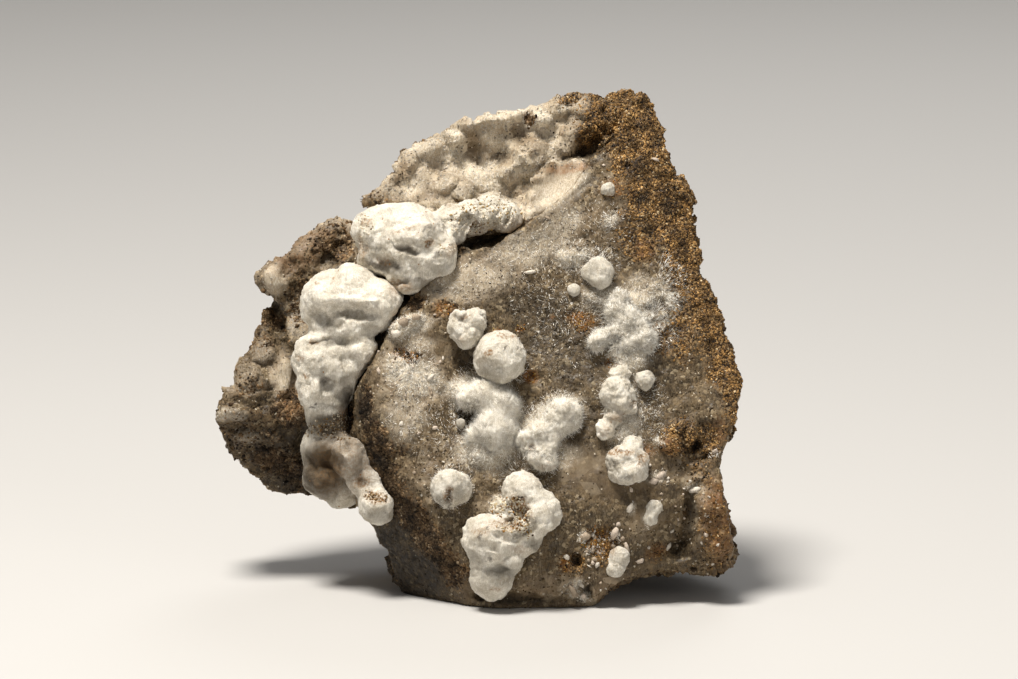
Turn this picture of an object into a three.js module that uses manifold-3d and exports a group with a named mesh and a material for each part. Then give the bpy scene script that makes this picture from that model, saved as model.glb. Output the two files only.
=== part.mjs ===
// A hand specimen of gowerite: chalky white balls and lumps of crystals on the broken rock they grew in.
// Millimetres. The rock is drawn square on to its front: x runs to the right, y into the rock and z up the face.
// The finished group then leans back onto its broken base, so that the base is level and +Z is up.
import * as THREE from "three";
import { ImprovedNoise } from "three/addons/math/ImprovedNoise.js";
import { mergeVertices } from "three/addons/utils/BufferGeometryUtils.js";
import Module from "manifold-3d";

const wasm = await Module();
wasm.setup();

// Driving sizes
const LEAN = THREE.MathUtils.degToRad(10); // how far the drawn front leans back when the rock stands
const BASE_FRONT = 5.5; // depth at which the level base meets the bottom of the drawing
const GAP = 0.3; // clearance between a crystal mass and the rock under it
const CELL = 3.1; // spacing of the points on a rock face
const STRAY = 0.6 * CELL; // how far those points stray from their grid, so that no rows of them show
const SPAN = 76; // width and height of a face before its outline is cut
const MARGIN = 8; // how far a face reaches below the drawing, and a column in front of it
const DEEP = 60; // thicker than the whole specimen
const ROUGH = 0.6; // how far broken faces stray from flat
const ROUGH_SIZE = 5.3; // width of one swell of that roughness
const FINE_BALL = 2.5; // lobes of more than this radius get the finest faces
const COARSE_BALL = 1.2; // lobes up to this radius get the coarsest

// The rock's surfaces: each function gives the depth y at a point (x, z) of the drawing.
const slope = (depth, perX, perZ) => (x, z) => depth + perX * x + perZ * z;

// How far (x, z) lies beyond a line, given a point on it and the direction square to it.
const beyond = (x, z, [px, pz], [nx, nz]) => Math.max(0, (x - px) * nx + (z - pz) * nz);

// Round swellings of a face, as [x, z, radius, height], towards the viewer where the height is positive
const swell = (x, z, swellings) =>
  swellings.reduce((sum, [cx, cz, radius, height]) => {
    const distance = Math.hypot(x - cx, z - cz) / radius;
    return sum + height * Math.exp(-(distance ** 2));
  }, 0);

const FACE = slope(1.0, 0, 0.17);
const FACE_EDGES = [
  { at: [13, 50], square: [0.92, 0.39], steep: 0.4 }, // the crusted right margin turns away
  { at: [0, 7.5], square: [0, -1], steep: 0.35 }, // the foot tucks under
  { at: [-12, 22.5], square: [-0.87, -0.5], steep: 0.9 }, // the broken lower left edge
  { at: [-13.8, 21.4], square: [-0.87, -0.5], steep: 0.25 }, // the shaded underside beyond it
  { at: [17, 12], square: [0.6, -0.8], steep: 0.3 }, // the lower right corner falls back
];
const FACE_SWELLINGS = [
  [-7, 22.5, 4.5, 0.9], [0, 34, 6, 0.8], [9, 12, 6, 0.9], [19, 26, 4, 0.7], [16, 44, 5, 0.8],
  [20.5, 17.6, 2.0, 1.2], [24.6, 8.0, 3.0, 2.6], [24.2, 12.6, 1.8, 1.0], [17.4, 6.4, 2.4, 1.2],
  [9.6, 3.0, 1.8, 1.5], [12.9, 3.0, 1.7, 1.5], [5.0, 2.4, 2.0, 1.2],
  [-2.2, 20.0, 2.4, -1.2], [-1, 24.4, 2.2, -0.7], [6.5, 31.5, 4.5, -0.7], [23.2, 16.6, 1.5, -1.3],
  [21.0, 7.4, 1.5, -2.8], [12.2, 7.0, 2.2, -1.0],
];
const LEDGE_SWELLINGS = [
  [12.4, 51.6, 3.6, 2.2], [-10.6, 42.6, 2.2, 1.2], [-4.6, 42.2, 2.4, 1.2], [5.4, 47.4, 2.6, 0.9],
  [1.1, 47.2, 2.1, -1.6], [-4.4, 45.2, 2.4, -0.9], [4.6, 43.6, 1.6, -1.2], [11.4, 47.6, 1.8, -1.4],
];
const LEFT_SWELLINGS = [
  [-22.2, 34.4, 2.0, 1.1], [-16.0, 39.0, 2.0, 1.0], [-17.6, 32.0, 2.6, -1.6], [-22.6, 25.4, 2.4, 1.0],
  [-19.6, 26.8, 2.2, 1.2], [-18.2, 19.6, 2.2, 1.5], [-25.6, 20.2, 2.4, 1.1],
];

const faceDepth = (x, z) =>
  FACE_EDGES.reduce((depth, e) => depth + e.steep * beyond(x, z, e.at, e.square), FACE(x, z)) -
  swell(x, z, FACE_SWELLINGS);
const ledgeDepth = (x, z) => 12 + 0.1 * x + 0.3 * (z - 44) - swell(x, z, LEDGE_SWELLINGS);
const slabDepth = slope(-0.2, -0.3, 0.3);
const leftTopDepth = (x, z) =>
  Math.max(12.6 - 0.08 * (x + 17), 14 + 0.55 * (z - 36)) - swell(x, z, LEFT_SWELLINGS);
const leftLowDepth = (x, z) =>
  12.6 + 0.3 * beyond(x, z, [0, 20], [0, 1]) + 0.55 * beyond(x, z, [0, 20], [0, -1]) -
  swell(x, z, LEFT_SWELLINGS);
const backDepth = (x, z) =>
  Math.min(31 - 0.12 * z, 45 - 0.22 * z - 0.75 * x, 41 - 0.2 * z + 0.62 * x, 58 - 0.75 * z, 21 + 0.9 * z);

// Outlines, as [x, z] points taken round each block of the rock as the front shows it
const PLATE = [
  [16.4, 53.0], [17.1, 53.7], [18.1, 53.1], [19.4, 50.6], [20.4, 47.1], [20.8, 45.3], [22.1, 43.2],
  [22.6, 39.0], [23.3, 36.3], [23.1, 35.5], [24.5, 32.1], [25.8, 28.8], [26.7, 25.7], [28.0, 23.5],
  [27.4, 21.3], [27.5, 19.3], [26.2, 17.3], [25.3, 15.1], [25.5, 12.6], [26.6, 8.2], [27.1, 6.4],
  [26.9, 4.8], [22.9, 3.8], [20.5, 4.0], [17.4, 2.8], [13.7, 1.2], [12.2, -0.6], [8.4, -1.0],
  [0.0, -1.0], [-6.4, -1.0], [-7.8, 0.8], [-9.0, 2.6], [-9.8, 5.0], [-11.3, 8.1], [-12.8, 10.2],
  [-13.4, 14.0], [-13.6, 18.4], [-13.4, 22.4], [-11.8, 25.2], [-10.0, 27.8], [-8.4, 31.0],
  [-5.8, 33.6], [-2.6, 36.9], [1.8, 38.4], [3.9, 39.5], [6.5, 41.1], [8.4, 42.7], [10.0, 44.6],
  [11.3, 46.7], [12.5, 48.1], [14.4, 50.1],
];
const LEDGE = [
  [-12.8, 42.8], [-10.9, 44.4], [-8.2, 46.6], [-8.1, 47.1], [-6.4, 48.6], [-4.6, 49.4], [-2.4, 50.9],
  [0.4, 51.9], [5.9, 52.8], [7.7, 53.3], [8.7, 54.1], [10.2, 54.6], [13.2, 54.4], [15.2, 54.8],
  [16.0, 54.3], [16.6, 52.8], [19.0, 49.0], [19.5, 40.0], [12.0, 30.0], [-4.0, 32.0], [-8.0, 36.0],
  [-10.3, 40.7], [-11.4, 41.3], [-12.6, 42.1],
];
const SLAB = [
  [4.6, 40.6], [4.6, 42.4], [5.6, 44.4], [7.3, 46.2], [9.0, 46.9], [12.0, 47.4], [11.6, 44.0], [6.4, 39.6],
];
const LEFT_TOP = [
  [-13.3, 40.8], [-14.6, 41.1], [-15.5, 40.3], [-17.4, 39.7], [-18.9, 38.7], [-21.3, 36.8],
  [-23.4, 34.6], [-23.0, 33.9], [-21.7, 32.0], [-20.5, 27.0], [-8.0, 22.0], [0.0, 30.0], [-4.0, 38.5],
  [-12.4, 40.2],
];
const LEFT_LOW = [
  [-21.8, 32.6], [-23.4, 29.4], [-24.6, 26.4], [-26.0, 24.4], [-28.2, 21.1], [-28.2, 19.3],
  [-26.6, 17.3], [-25.1, 14.8], [-23.3, 13.3], [-22.3, 11.7], [-19.8, 11.4], [-17.4, 11.0],
  [-14.4, 10.2], [-10.0, 9.0], [-4.0, 20.0], [-8.0, 33.0], [-16.0, 33.5],
];

const perlin = new ImprovedNoise();

// Smooth noise from -1 to 1 at a point, whose swells are about one size across.
const noiseAt = (p, size, seed) => perlin.noise(p.x / size + seed, p.y / size + seed / 2, p.z / size);

// Moves every point of a geometry by a function that changes the point it is given.
function reshape(geometry, change) {
  const position = geometry.getAttribute("position");
  const point = new THREE.Vector3();
  for (let i = 0; i < position.count; i++) {
    change(point.fromBufferAttribute(position, i));
    position.setXYZ(i, point.x, point.y, point.z);
  }
  return geometry;
}

// Strays a point from its place by noise in all three directions.
function roughen(point, amount, size, seed) {
  const stray = [seed, seed + 31, seed + 67].map((s) => noiseAt(point, size, s));
  return point.add(new THREE.Vector3(...stray).multiplyScalar(amount));
}

// A closed geometry as a solid that can be joined and cut.
function solid(geometry) {
  geometry.deleteAttribute("normal");
  geometry.deleteAttribute("uv");
  const merged = mergeVertices(geometry, 1e-4);
  return new wasm.Manifold(
    new wasm.Mesh({
      numProp: 3,
      vertProperties: merged.getAttribute("position").array,
      triVerts: Uint32Array.from(merged.index.array),
    }),
  );
}

// A wide slab of rock with a rough face at the given depth, and flat at the depth "far", in front or behind.
function slab(face, far, seed) {
  const cells = Math.round(SPAN / CELL);
  const box = new THREE.BoxGeometry(SPAN, 1, SPAN, cells, 1, cells).translate(0, 0, SPAN / 2 - MARGIN);
  return solid(
    reshape(box, (p) => {
      const onFace = p.y * far < 0;
      roughen(p, STRAY, 1.37 * CELL, seed + 50);
      p.y = onFace ? face(p.x, p.z) + ROUGH * noiseAt(p, ROUGH_SIZE, seed) : far;
    }),
  );
}

// A column of an outline's section. It is widest at the depth "girth", and draws in towards front and back.
function column(outline, { girth, drawIn, drawInBehind, heart }, seed) {
  const shape = new THREE.Shape(outline.map(([x, z]) => new THREE.Vector2(x, z)));
  const steps = Math.round(DEEP / (1.6 * CELL));
  const prism = new THREE.ExtrudeGeometry(shape, { depth: DEEP, steps, bevelEnabled: false });
  prism.rotateX(Math.PI / 2).translate(0, DEEP - MARGIN, 0);
  return solid(
    reshape(prism, (p) => {
      const ahead = Math.max(0, girth - p.y) / 10;
      const behind = Math.max(0, p.y - girth) / 10;
      const scale = Math.max(0.2, 1 - drawIn * ahead ** 2 - drawInBehind * behind ** 2);
      p.x = heart[0] + (p.x - heart[0]) * scale;
      p.z = heart[1] + (p.z - heart[1]) * scale;
      roughen(p, ROUGH, ROUGH_SIZE, seed);
      roughen(p, 3 * ROUGH * behind, 2.3 * ROUGH_SIZE, seed + 11);
    }),
  );
}

// A block of rock: a column behind its front face.
const block = (outline, front, sides, seed) =>
  slab(front, DEEP, seed).intersect(column(outline, sides, seed + 5));

// The rock below the level base is broken away: the box that takes it off leans as the drawing does.
function belowBase() {
  const box = new THREE.BoxGeometry(2 * SPAN, 2 * SPAN, SPAN).translate(0, 0, -SPAN / 2);
  return solid(box.rotateX(LEAN).translate(0, BASE_FRONT, 0));
}

// One rounded lobe of crystals at [x, y, z] with its radius: the larger it is, the finer its faces.
function lobe([x, y, z, radius], seed) {
  const detail = Number(radius > COARSE_BALL) + Number(radius > FINE_BALL);
  const ball = new THREE.IcosahedronGeometry(radius, detail);
  return solid(
    reshape(ball, (p) => {
      const swelling = 1 + 0.16 * noiseAt(p, radius * 0.9, seed) + 0.06 * noiseAt(p, radius * 0.4, seed + 3);
      p.multiplyScalar(swelling).add(new THREE.Vector3(x, y, z));
    }),
  );
}

const join = (solids) => solids.reduce((all, one) => all.add(one));

// The largest of the bodies that a cut leaves.
const largest = (cut) => cut.decompose().reduce((a, b) => (a.volume() > b.volume() ? a : b));

// A mass of lobes, cut to sit a small gap clear of the rock in each direction it could touch.
function growth(lobes, seed, rock, directions) {
  let mass = join(lobes.map((l, i) => lobe(l, seed + 7 * i)));
  for (const [x, y, z] of directions) mass = mass.subtract(rock.translate([x * GAP, y * GAP, z * GAP]));
  return largest(mass);
}

// Small lumps on the ledge's top edge that are one with the rock
const LEDGE_LUMPS = [
  [-6.4, 13.6, 47.0, 1.2], [-4.4, 13.8, 48.2, 1.2], [-1.5, 14.0, 50.2, 1.5], [1.1, 14.4, 50.8, 1.4],
  [3.4, 14.6, 50.9, 1.4], [6.2, 14.8, 51.6, 1.2], [8.6, 15.0, 52.6, 1.5],
];

function makeRock() {
  const plateSides = { girth: 11, drawIn: 0.05, drawInBehind: 0.06, heart: [7, 24] };
  const rearSides = { girth: 17, drawIn: 0.05, drawInBehind: 0.1, heart: [0, 30] };
  const blocks = [
    block(PLATE, faceDepth, plateSides, 3),
    block(LEDGE, ledgeDepth, rearSides, 20),
    block(SLAB, slabDepth, rearSides, 30),
    block(LEFT_TOP, leftTopDepth, rearSides, 40),
    block(LEFT_LOW, leftLowDepth, rearSides, 60),
    ...LEDGE_LUMPS.map((l, i) => lobe(l, 100 + i)),
  ];
  return join(blocks).intersect(slab(backDepth, -DEEP, 80)).subtract(belowBase());
}

// The two big masses that fill the open seam on the left, between the front plate and the rock behind
const UPPER_SEAM_MASS = [
  [-7.1, 7.6, 38.2, 3.6], [-11.4, 9.2, 39.4, 2.0], [-9.4, 8.6, 39.4, 2.5], [-10.3, 8.5, 37.0, 2.3],
  [-4.9, 7.2, 36.6, 2.5], [-7.4, 7.2, 34.9, 2.2],
  [-2.9, 9.2, 40.0, 1.9], [-0.9, 9.8, 40.8, 1.6], [0.9, 10.2, 41.4, 1.5], [2.8, 10.0, 40.7, 1.4],
];
const LOWER_SEAM_MASS = [
  [-15.4, 8.6, 31.8, 3.2], [-13.2, 8.2, 32.8, 2.7], [-10.9, 7.2, 31.4, 2.6], [-13.6, 7.8, 29.8, 2.4],
  [-16.5, 8.6, 25.9, 3.1], [-16.3, 8.6, 22.9, 2.7], [-14.4, 8.2, 24.4, 2.2], [-12.4, 7.4, 26.6, 1.6],
  [-16.2, 9.2, 20.2, 2.0], [-15.2, 9.8, 18.2, 1.8],
  [-16.3, 11.0, 16.4, 2.4], [-16.2, 11.4, 13.6, 2.4], [-14.6, 11.4, 12.0, 1.7],
  [-13.3, 7.9, 15.7, 2.2], [-11.9, 7.5, 13.0, 1.6], [-10.6, 7.0, 10.6, 1.9],
];

// The growths on the front face: lobes as [x, z, radius, how far the centre stands out of the face]
const FACE_GROWTHS = {
  knobby_ball: [[-2.3, 29.7, 1.1, 0.9], [-0.4, 29.9, 1.15, 0.9], [-1.3, 28.4, 1.4, 0.7]],
  round_ball: [[2.1, 26.0, 2.5, 1.2]],
  high_ball: [[12.4, 34.9, 1.65, 0.5]],
  small_ball: [[9.9, 33.1, 0.8, 0.3]],
  pea: [[-2.0, 19.1, 0.7, 0.5]],
  centre_tuft: [
    [-1.2, 21.7, 1.2, 0.3], [0.6, 22.0, 1.4, 0.4], [2.6, 20.8, 1.4, 0.4], [1.6, 18.3, 2.0, 0.5],
    [0.1, 17.6, 1.2, 0.2],
  ],
  right_tuft: [
    [8.8, 19.7, 1.8, 0.6], [6.6, 17.7, 1.5, 0.6], [6.6, 15.6, 1.35, 0.6], [4.6, 17.2, 1.1, 0.4],
  ],
  low_ball: [[-3.1, 12.4, 2.05, 0.7]],
  foot_cluster: [
    [4.4, 12.0, 1.95, 0.7], [6.2, 9.9, 2.0, 0.9], [3.6, 9.4, 1.5, 0.4], [4.6, 7.7, 1.8, 0.6],
    [1.1, 6.8, 2.6, 0.9], [2.7, 5.2, 1.7, 0.8], [1.2, 3.2, 2.1, 0.9],
  ],
  branching_tuft: [
    [14.5, 32.0, 1.1, 0.3], [14.6, 30.4, 1.3, 0.3], [16.1, 29.3, 1.4, 0.4], [17.5, 27.8, 1.3, 0.5],
    [15.7, 27.5, 1.3, 0.3], [14.1, 28.3, 1.2, 0.3], [12.6, 27.8, 1.2, 0.5],
  ],
  bead_string: [
    [14.4, 22.1, 1.7, 0.7], [14.7, 24.1, 1.0, 0.4], [15.6, 21.0, 1.0, 0.4], [14.0, 19.9, 1.2, 0.4],
    [13.1, 18.5, 1.0, 0.4],
  ],
  side_bead: [[17.3, 23.6, 0.95, 0.3]],
  shell_ball: [[15.4, 14.8, 1.9, 0.7], [16.0, 16.9, 0.9, 0.3]],
  high_bead: [[13.4, 43.6, 0.65, 0.3]],
  low_sliver: [[18.1, 10.2, 0.8, 0.3], [17.7, 9.3, 0.7, 0.3]],
  foot_crystal: [[14.5, 5.2, 0.9, 0.5], [14.2, 4.2, 0.8, 0.5]],
};

const finish = (color, roughness) =>
  new THREE.MeshStandardMaterial({ color, roughness, metalness: 0 });
const ROCK_FINISH = finish(0x93826b, 0.85);
const CRYSTAL_FINISH = finish(0xe9e4d9, 0.9);

// A solid as a named mesh.
function piece(name, body, material) {
  const { numProp, vertProperties, triVerts } = body.getMesh();
  const geometry = new THREE.BufferGeometry();
  geometry.setAttribute("position", new THREE.BufferAttribute(vertProperties, numProp));
  geometry.setIndex(new THREE.BufferAttribute(triVerts, 1));
  geometry.computeVertexNormals();
  const mesh = new THREE.Mesh(geometry, material);
  mesh.name = name;
  return mesh;
}

const IN_THE_SEAM = [[-1, -1, 0.7], [0.4, -1, -1]];
const ON_THE_FACE = [[0, -1, 0]];

const rock = makeRock();
const specimen = new THREE.Group();
specimen.add(
  piece("rock", rock, ROCK_FINISH),
  piece("upper_seam_mass", growth(UPPER_SEAM_MASS, 200, rock, IN_THE_SEAM), CRYSTAL_FINISH),
  piece("lower_seam_mass", growth(LOWER_SEAM_MASS, 300, rock, IN_THE_SEAM), CRYSTAL_FINISH),
);
Object.entries(FACE_GROWTHS).forEach(([name, lobes], i) => {
  const seated = lobes.map(([x, z, radius, out]) => [x, faceDepth(x, z) - out, z, radius]);
  specimen.add(piece(name, growth(seated, 400 + 20 * i, rock, ON_THE_FACE), CRYSTAL_FINISH));
});
specimen.rotation.x = -LEAN;

// The origin is the middle of the specimen's box, on the ground.
const stand = new THREE.Group();
stand.add(specimen);
const box = new THREE.Box3().setFromObject(stand, true);
const middle = box.getCenter(new THREE.Vector3());
specimen.position.set(-middle.x, -middle.y, -box.min.z);

export default stand;
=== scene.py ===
import math
import bpy
import numpy as np
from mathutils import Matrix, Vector, noise
from mathutils.bvhtree import BVHTree


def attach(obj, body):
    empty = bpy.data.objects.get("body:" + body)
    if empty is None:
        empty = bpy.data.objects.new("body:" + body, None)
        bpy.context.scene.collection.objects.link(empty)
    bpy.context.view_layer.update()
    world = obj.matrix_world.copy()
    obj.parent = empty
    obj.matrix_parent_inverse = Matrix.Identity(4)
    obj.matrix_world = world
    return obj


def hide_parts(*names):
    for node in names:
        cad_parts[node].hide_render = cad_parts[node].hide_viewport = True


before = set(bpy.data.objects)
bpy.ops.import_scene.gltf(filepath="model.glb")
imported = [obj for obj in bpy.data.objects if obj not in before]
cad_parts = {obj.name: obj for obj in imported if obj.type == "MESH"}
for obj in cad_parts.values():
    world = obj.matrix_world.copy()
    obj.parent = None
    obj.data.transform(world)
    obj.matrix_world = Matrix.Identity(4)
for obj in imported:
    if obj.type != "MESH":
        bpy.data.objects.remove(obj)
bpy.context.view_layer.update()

# Camera
# A long lens, three quarters of a metre away, looks down on the specimen by ten degrees. Places on the specimen's front are
# given below as they are seen there: across and down in picture dots of 0.105 mm, and inwards from the picture in metres.
# CORNER is the specimen's own point that is seen 480 dots across and 605 down.
DOT = 0.000105
TILT = math.radians(10)
DISTANCE = 0.742
INWARDS = np.array([0, math.cos(TILT), -math.sin(TILT)])
UPWARDS = np.array([0, math.sin(TILT), math.cos(TILT)])
CORNER = np.array([0.000198, -0.016604, 0.0009551])
CORNER_ACROSS, CORNER_DOWN = 480, 605


def seen(points):
    """Across, down (in dots) and inwards (in metres) of points on the specimen."""
    away = np.asarray(points) - CORNER
    return CORNER_ACROSS + away[:, 0] / DOT, CORNER_DOWN - away @ UPWARDS / DOT, away @ INWARDS


def place(across, down, inwards=0.0):
    """The point on the specimen that is seen so far across and down, so far inwards."""
    sideways = np.array([(across - CORNER_ACROSS) * DOT, 0, 0])
    return CORNER + sideways + (CORNER_DOWN - down) * DOT * UPWARDS + inwards * INWARDS


bpy.ops.object.select_all(action="DESELECT")
aim = place(509, 339.5, 0.0076)
bpy.ops.object.camera_add(location=aim - DISTANCE * INWARDS, rotation=(math.pi / 2 - TILT, 0, 0))
camera = bpy.context.object
camera.data.lens = 250
camera.data.sensor_width = 36
bpy.context.scene.camera = camera


# Rock
# The broken block of borate rock that everything grows on: grey, sugary and translucent on the front plate, whiter on the
# ledge behind it, and brown, crusted and granular on its margins, sides and back. Broken from a seam, and level underneath.
def smooth_copy(node, name, dot, rounds, plump=0.0, close=0.0):
    """A fine, even skin over one of the solids, to be roughened. It may be plumper, with its creases closed (metres)."""
    bpy.ops.object.select_all(action="DESELECT")
    piece = bpy.data.objects.new(name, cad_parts[node].data.copy())
    piece.data.materials.clear()
    bpy.context.collection.objects.link(piece)
    piece.select_set(True)
    bpy.context.view_layer.objects.active = piece
    bpy.ops.object.mode_set(mode="EDIT")
    bpy.ops.mesh.select_all(action="SELECT")
    bpy.ops.mesh.remove_doubles(threshold=1e-6)
    bpy.ops.object.mode_set(mode="OBJECT")
    for swelling in (0.0, plump + close, -close) if close else (0.0,):
        if swelling:
            grown = piece.modifiers.new("grown", "DISPLACE")
            grown.mid_level = 0
            grown.strength = swelling
            bpy.ops.object.modifier_apply(modifier="grown")
        skin = piece.modifiers.new("skin", "REMESH")
        skin.mode = "VOXEL"
        skin.voxel_size = dot
        bpy.ops.object.modifier_apply(modifier="skin")
        worn = piece.modifiers.new("worn", "SMOOTH")
        worn.factor = 0.5
        worn.iterations = rounds
        bpy.ops.object.modifier_apply(modifier="worn")
    bpy.ops.object.shade_smooth()
    return piece


def points_of(piece, what="co"):
    flat = np.empty(len(piece.data.vertices) * 3)
    piece.data.vertices.foreach_get(what, flat)
    return flat.reshape(-1, 3)


def normals_of(piece):
    return points_of(piece, "normal")


def reshape(piece, points):
    piece.data.vertices.foreach_set("co", points.ravel())
    piece.data.update()


def waves(points, size, start=0.0):
    """Soft swellings from about -1 to 1, of one size in metres."""
    return np.array([noise.noise(Vector(p)) for p in points / size + start])


def facets(points, size, start=0.0):
    """Heights of small broken faces, each at its own level and tilt."""
    heights = np.empty(len(points))
    for i, p in enumerate(points / size + start):
        p = Vector(p)
        middle = noise.voronoi(p)[1][0]
        heights[i] = 0.6 * noise.noise(middle * 17.3) + 1.1 * noise.noise_vector(middle * 9.1).dot(p - middle)
    return heights


def patches(across, down, places):
    """How strongly soft oval patches cover each point.

    A patch is its middle across and down, half its width and height, its strength, and its turn in degrees if it has one.
    """
    cover = np.zeros(len(across))
    for x, y, wide, high, strength, *turn in places:
        c, s = (math.cos(math.radians(turn[0])), math.sin(math.radians(turn[0]))) if turn else (1, 0)
        far = np.hypot(((across - x) * c + (down - y) * s) / wide, ((down - y) * c - (across - x) * s) / high)
        t = np.clip((1.3 - far) / 0.8, 0, 1)
        cover = np.maximum(cover, strength * t * t * (3 - 2 * t))
    return cover


def swell(points, across, down, facing, places):
    """Patches that stand out as lumps (above 0) or sink in as hollows (below 0), by their strength in mm."""
    for x, y, wide, high, depth, *turn in places:
        amount = patches(across, down, [(x, y, wide, high, 1, *turn)]) * facing * depth * 0.001
        points = points - amount[:, None] * INWARDS
    return points


def tree_of(piece):
    mesh = piece.data
    return BVHTree.FromPolygons([v.co for v in mesh.vertices], [p.vertices for p in mesh.polygons])


def in_view(points, normals, tree):
    """1 where nothing stands before a point of the front, 0 on the sides and back."""
    back = Vector(-INWARDS)
    clear = np.zeros(len(points))
    for i in np.nonzero(normals @ INWARDS < -0.05)[0]:
        p = Vector(points[i])
        if tree.ray_cast(p + back * 0.0004, back)[0] is None:
            clear[i] = 1
    return clear


def keep(piece, name, values):
    """Stores one number, direction or colour for each point, for the material to read."""
    kind, field = {1: ("FLOAT", "value"), 3: ("FLOAT_VECTOR", "vector"), 4: ("FLOAT_COLOR", "color")}[values[0].size]
    held = piece.data.attributes.new(name, kind, "POINT")
    held.data.foreach_set(field, values.astype(np.float32).ravel())


# The broken faces are turned by this seed, the same in every run.
noise.seed_set(9)
VOXEL = 0.000316
rock = smooth_copy("rock", "rock_surface", VOXEL, 6)
at = points_of(rock)
across, down, deep = seen(at)
facing = np.clip(-normals_of(rock) @ INWARDS * 2.5, 0, 1)
ROCK_SHAPE = [
    (592, 146, 20, 9, -1.0, -25), (575, 154, 12, 5, -0.8, -15), (610, 138, 10, 5, -0.6, -35), (503, 510, 12, 13, 1.7),
    (497, 519, 7, 6, 0.5), (511, 500, 6, 7, 0.4), (606, 112, 26, 18, 0.5), (462, 248, 13, 5, -1.6, -25),
    (485, 239, 18, 4, -1.8, -10), (506, 233, 9, 4, -1.4, -15), (488, 153, 22, 12, -0.9, 10), (446, 168, 22, 10, -0.6),
    (412, 184, 9, 13, -0.5), (516, 189, 22, 11, -0.8, -20), (484, 396, 32, 13, 0.9, 10), (504, 424, 13, 32, 0.9),
    (488, 448, 22, 16, 0.9), (552, 418, 25, 13, 0.7, -35), (535, 440, 18, 15, 0.6), (632, 345, 16, 28, 0.6, 25),
    (618, 300, 32, 11, 0.5, 10), (618, 395, 15, 19, 0.4), (622, 427, 17, 14, 0.4), (571, 257, 15, 7, 0.4),
    (392, 205, 8, 12, 0.5, 60), (372, 200, 9, 9, 0.3), (455, 137, 9, 7, 1.3), (430, 149, 15, 8, 0.8, -25),
    (500, 113, 44, 9, 0.5, -12), (541, 117, 10, 10, 1.2), (518, 114, 9, 7, 1.0), (494, 117, 10, 8, 0.9),
    (470, 124, 11, 8, 0.8, -20), (443, 183, 13, 9, 0.7, -15), (478, 176, 14, 13, 0.7, 20), (463, 192, 9, 7, 0.7),
    (408, 160, 9, 8, 0.7), (502, 172, 9, 8, 0.8), (529, 150, 16, 14, 0.5), (492, 198, 10, 6, 0.7),
    (520, 216, 16, 8, 0.8, -20), (540, 208, 9, 6, 0.5, -30), (466, 358, 11, 10, -0.6), (470, 414, 15, 12, -1.0),
    (610, 318, 7, 5, -0.5), (611, 361, 9, 6, -0.5, 20), (656, 306, 13, 7, -0.6, -20), (672, 332, 18, 6, -0.4, -35),
    (531, 377, 7, 6, -0.4), (696, 437, 17, 9, 0.6, 70), (668, 443, 12, 9, 0.8), (676, 425, 8, 7, 0.6),
    (694, 446, 6, 6, -1.4), (704, 455, 6, 4, -0.7), (690, 508, 7, 16, -1.5, -8), (686, 532, 8, 12, -1.1, 10),
    (680, 548, 11, 12, -1.4, 20), (694, 488, 5, 9, -0.7, 10), (704, 500, 9, 12, 0.8), (700, 535, 8, 10, 0.7),
    (722, 500, 8, 10, 0.6), (712, 548, 12, 8, 0.7), (716, 520, 18, 40, 0.7), (682, 528, 8, 4, 0.6), (575, 560, 6, 7, -1.0),
    (585, 589, 8, 8, -1.2, 30), (583, 594, 5, 5, 0.8), (607, 585, 17, 17, 0.5), (600, 540, 12, 14, -0.3),
    (468, 590, 12, 18, 0.3), (515, 597, 40, 7, -0.9, 5), (420, 600, 20, 8, -0.2), (402, 430, 9, 26, 0.3, -15),
    (403, 470, 10, 15, 0.3, -20), (425, 488, 7, 6, 0.4), (645, 565, 30, 12, 0.3, -20), (405, 325, 18, 8, 0.8, -25),
    (418, 318, 8, 6, 0.4), (396, 331, 8, 5, 0.4), (412, 295, 12, 6, -0.7, 20), (580, 190, 26, 3, -0.25, -38),
    (340, 248, 9, 8, -0.6), (324, 259, 12, 7, -0.7), (273, 305, 9, 6, -0.6), (300, 250, 16, 9, 0.5, -35),
    (271, 281, 13, 13, 0.5), (283, 376, 12, 20, 0.7), (262, 350, 15, 12, 0.4), (289, 408, 18, 20, 0.5),
    (246, 386, 18, 16, 0.5), (229, 414, 17, 6, 0.6), (246, 436, 12, 7, 0.5), (267, 459, 13, 10, 0.5),
    (234, 428, 22, 6, -0.6, 10), (300, 450, 18, 12, -0.5), (330, 370, 10, 40, -0.5)]
at = swell(at, across, down, facing, ROCK_SHAPE)
reshape(rock, at)

calm = patches(across, down, [
    (559, 190, 36, 18, 1.1, -38), (446, 168, 14, 6, 0.3), (412, 184, 7, 9, 0.4),
    (605, 475, 55, 28, 0.75, 10), (655, 500, 30, 30, 0.5), (475, 280, 26, 12, 0.6, -10), (440, 345, 16, 9, 0.5),
    (400, 415, 16, 22, 0.4), (272, 281, 11, 15, 0.7), (283, 376, 10, 18, 0.8), (607, 585, 15, 15, 0.6),
    (466, 590, 10, 15, 0.6), (420, 570, 26, 30, 0.4), (640, 560, 22, 14, 0.5), (560, 230, 20, 12, 0.5)])
calm = np.minimum(calm, 1) * facing
line = (across - 603.8) * DOT * 0.92 - (down - 128.8) * DOT * 0.39
margin = np.clip(line / 0.0018 + 0.55 + 0.9 * waves(at, 0.0022), 0, 1) * np.clip((470 - down) / 25, 0, 1)
wall = 1 - np.clip(facing * 1.6, 0, 1)
rough = 1 - 0.85 * calm
normals = normals_of(rock)
hidden_in = np.clip((deep - 0.0085) / 0.0015, 0, 1)
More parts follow.
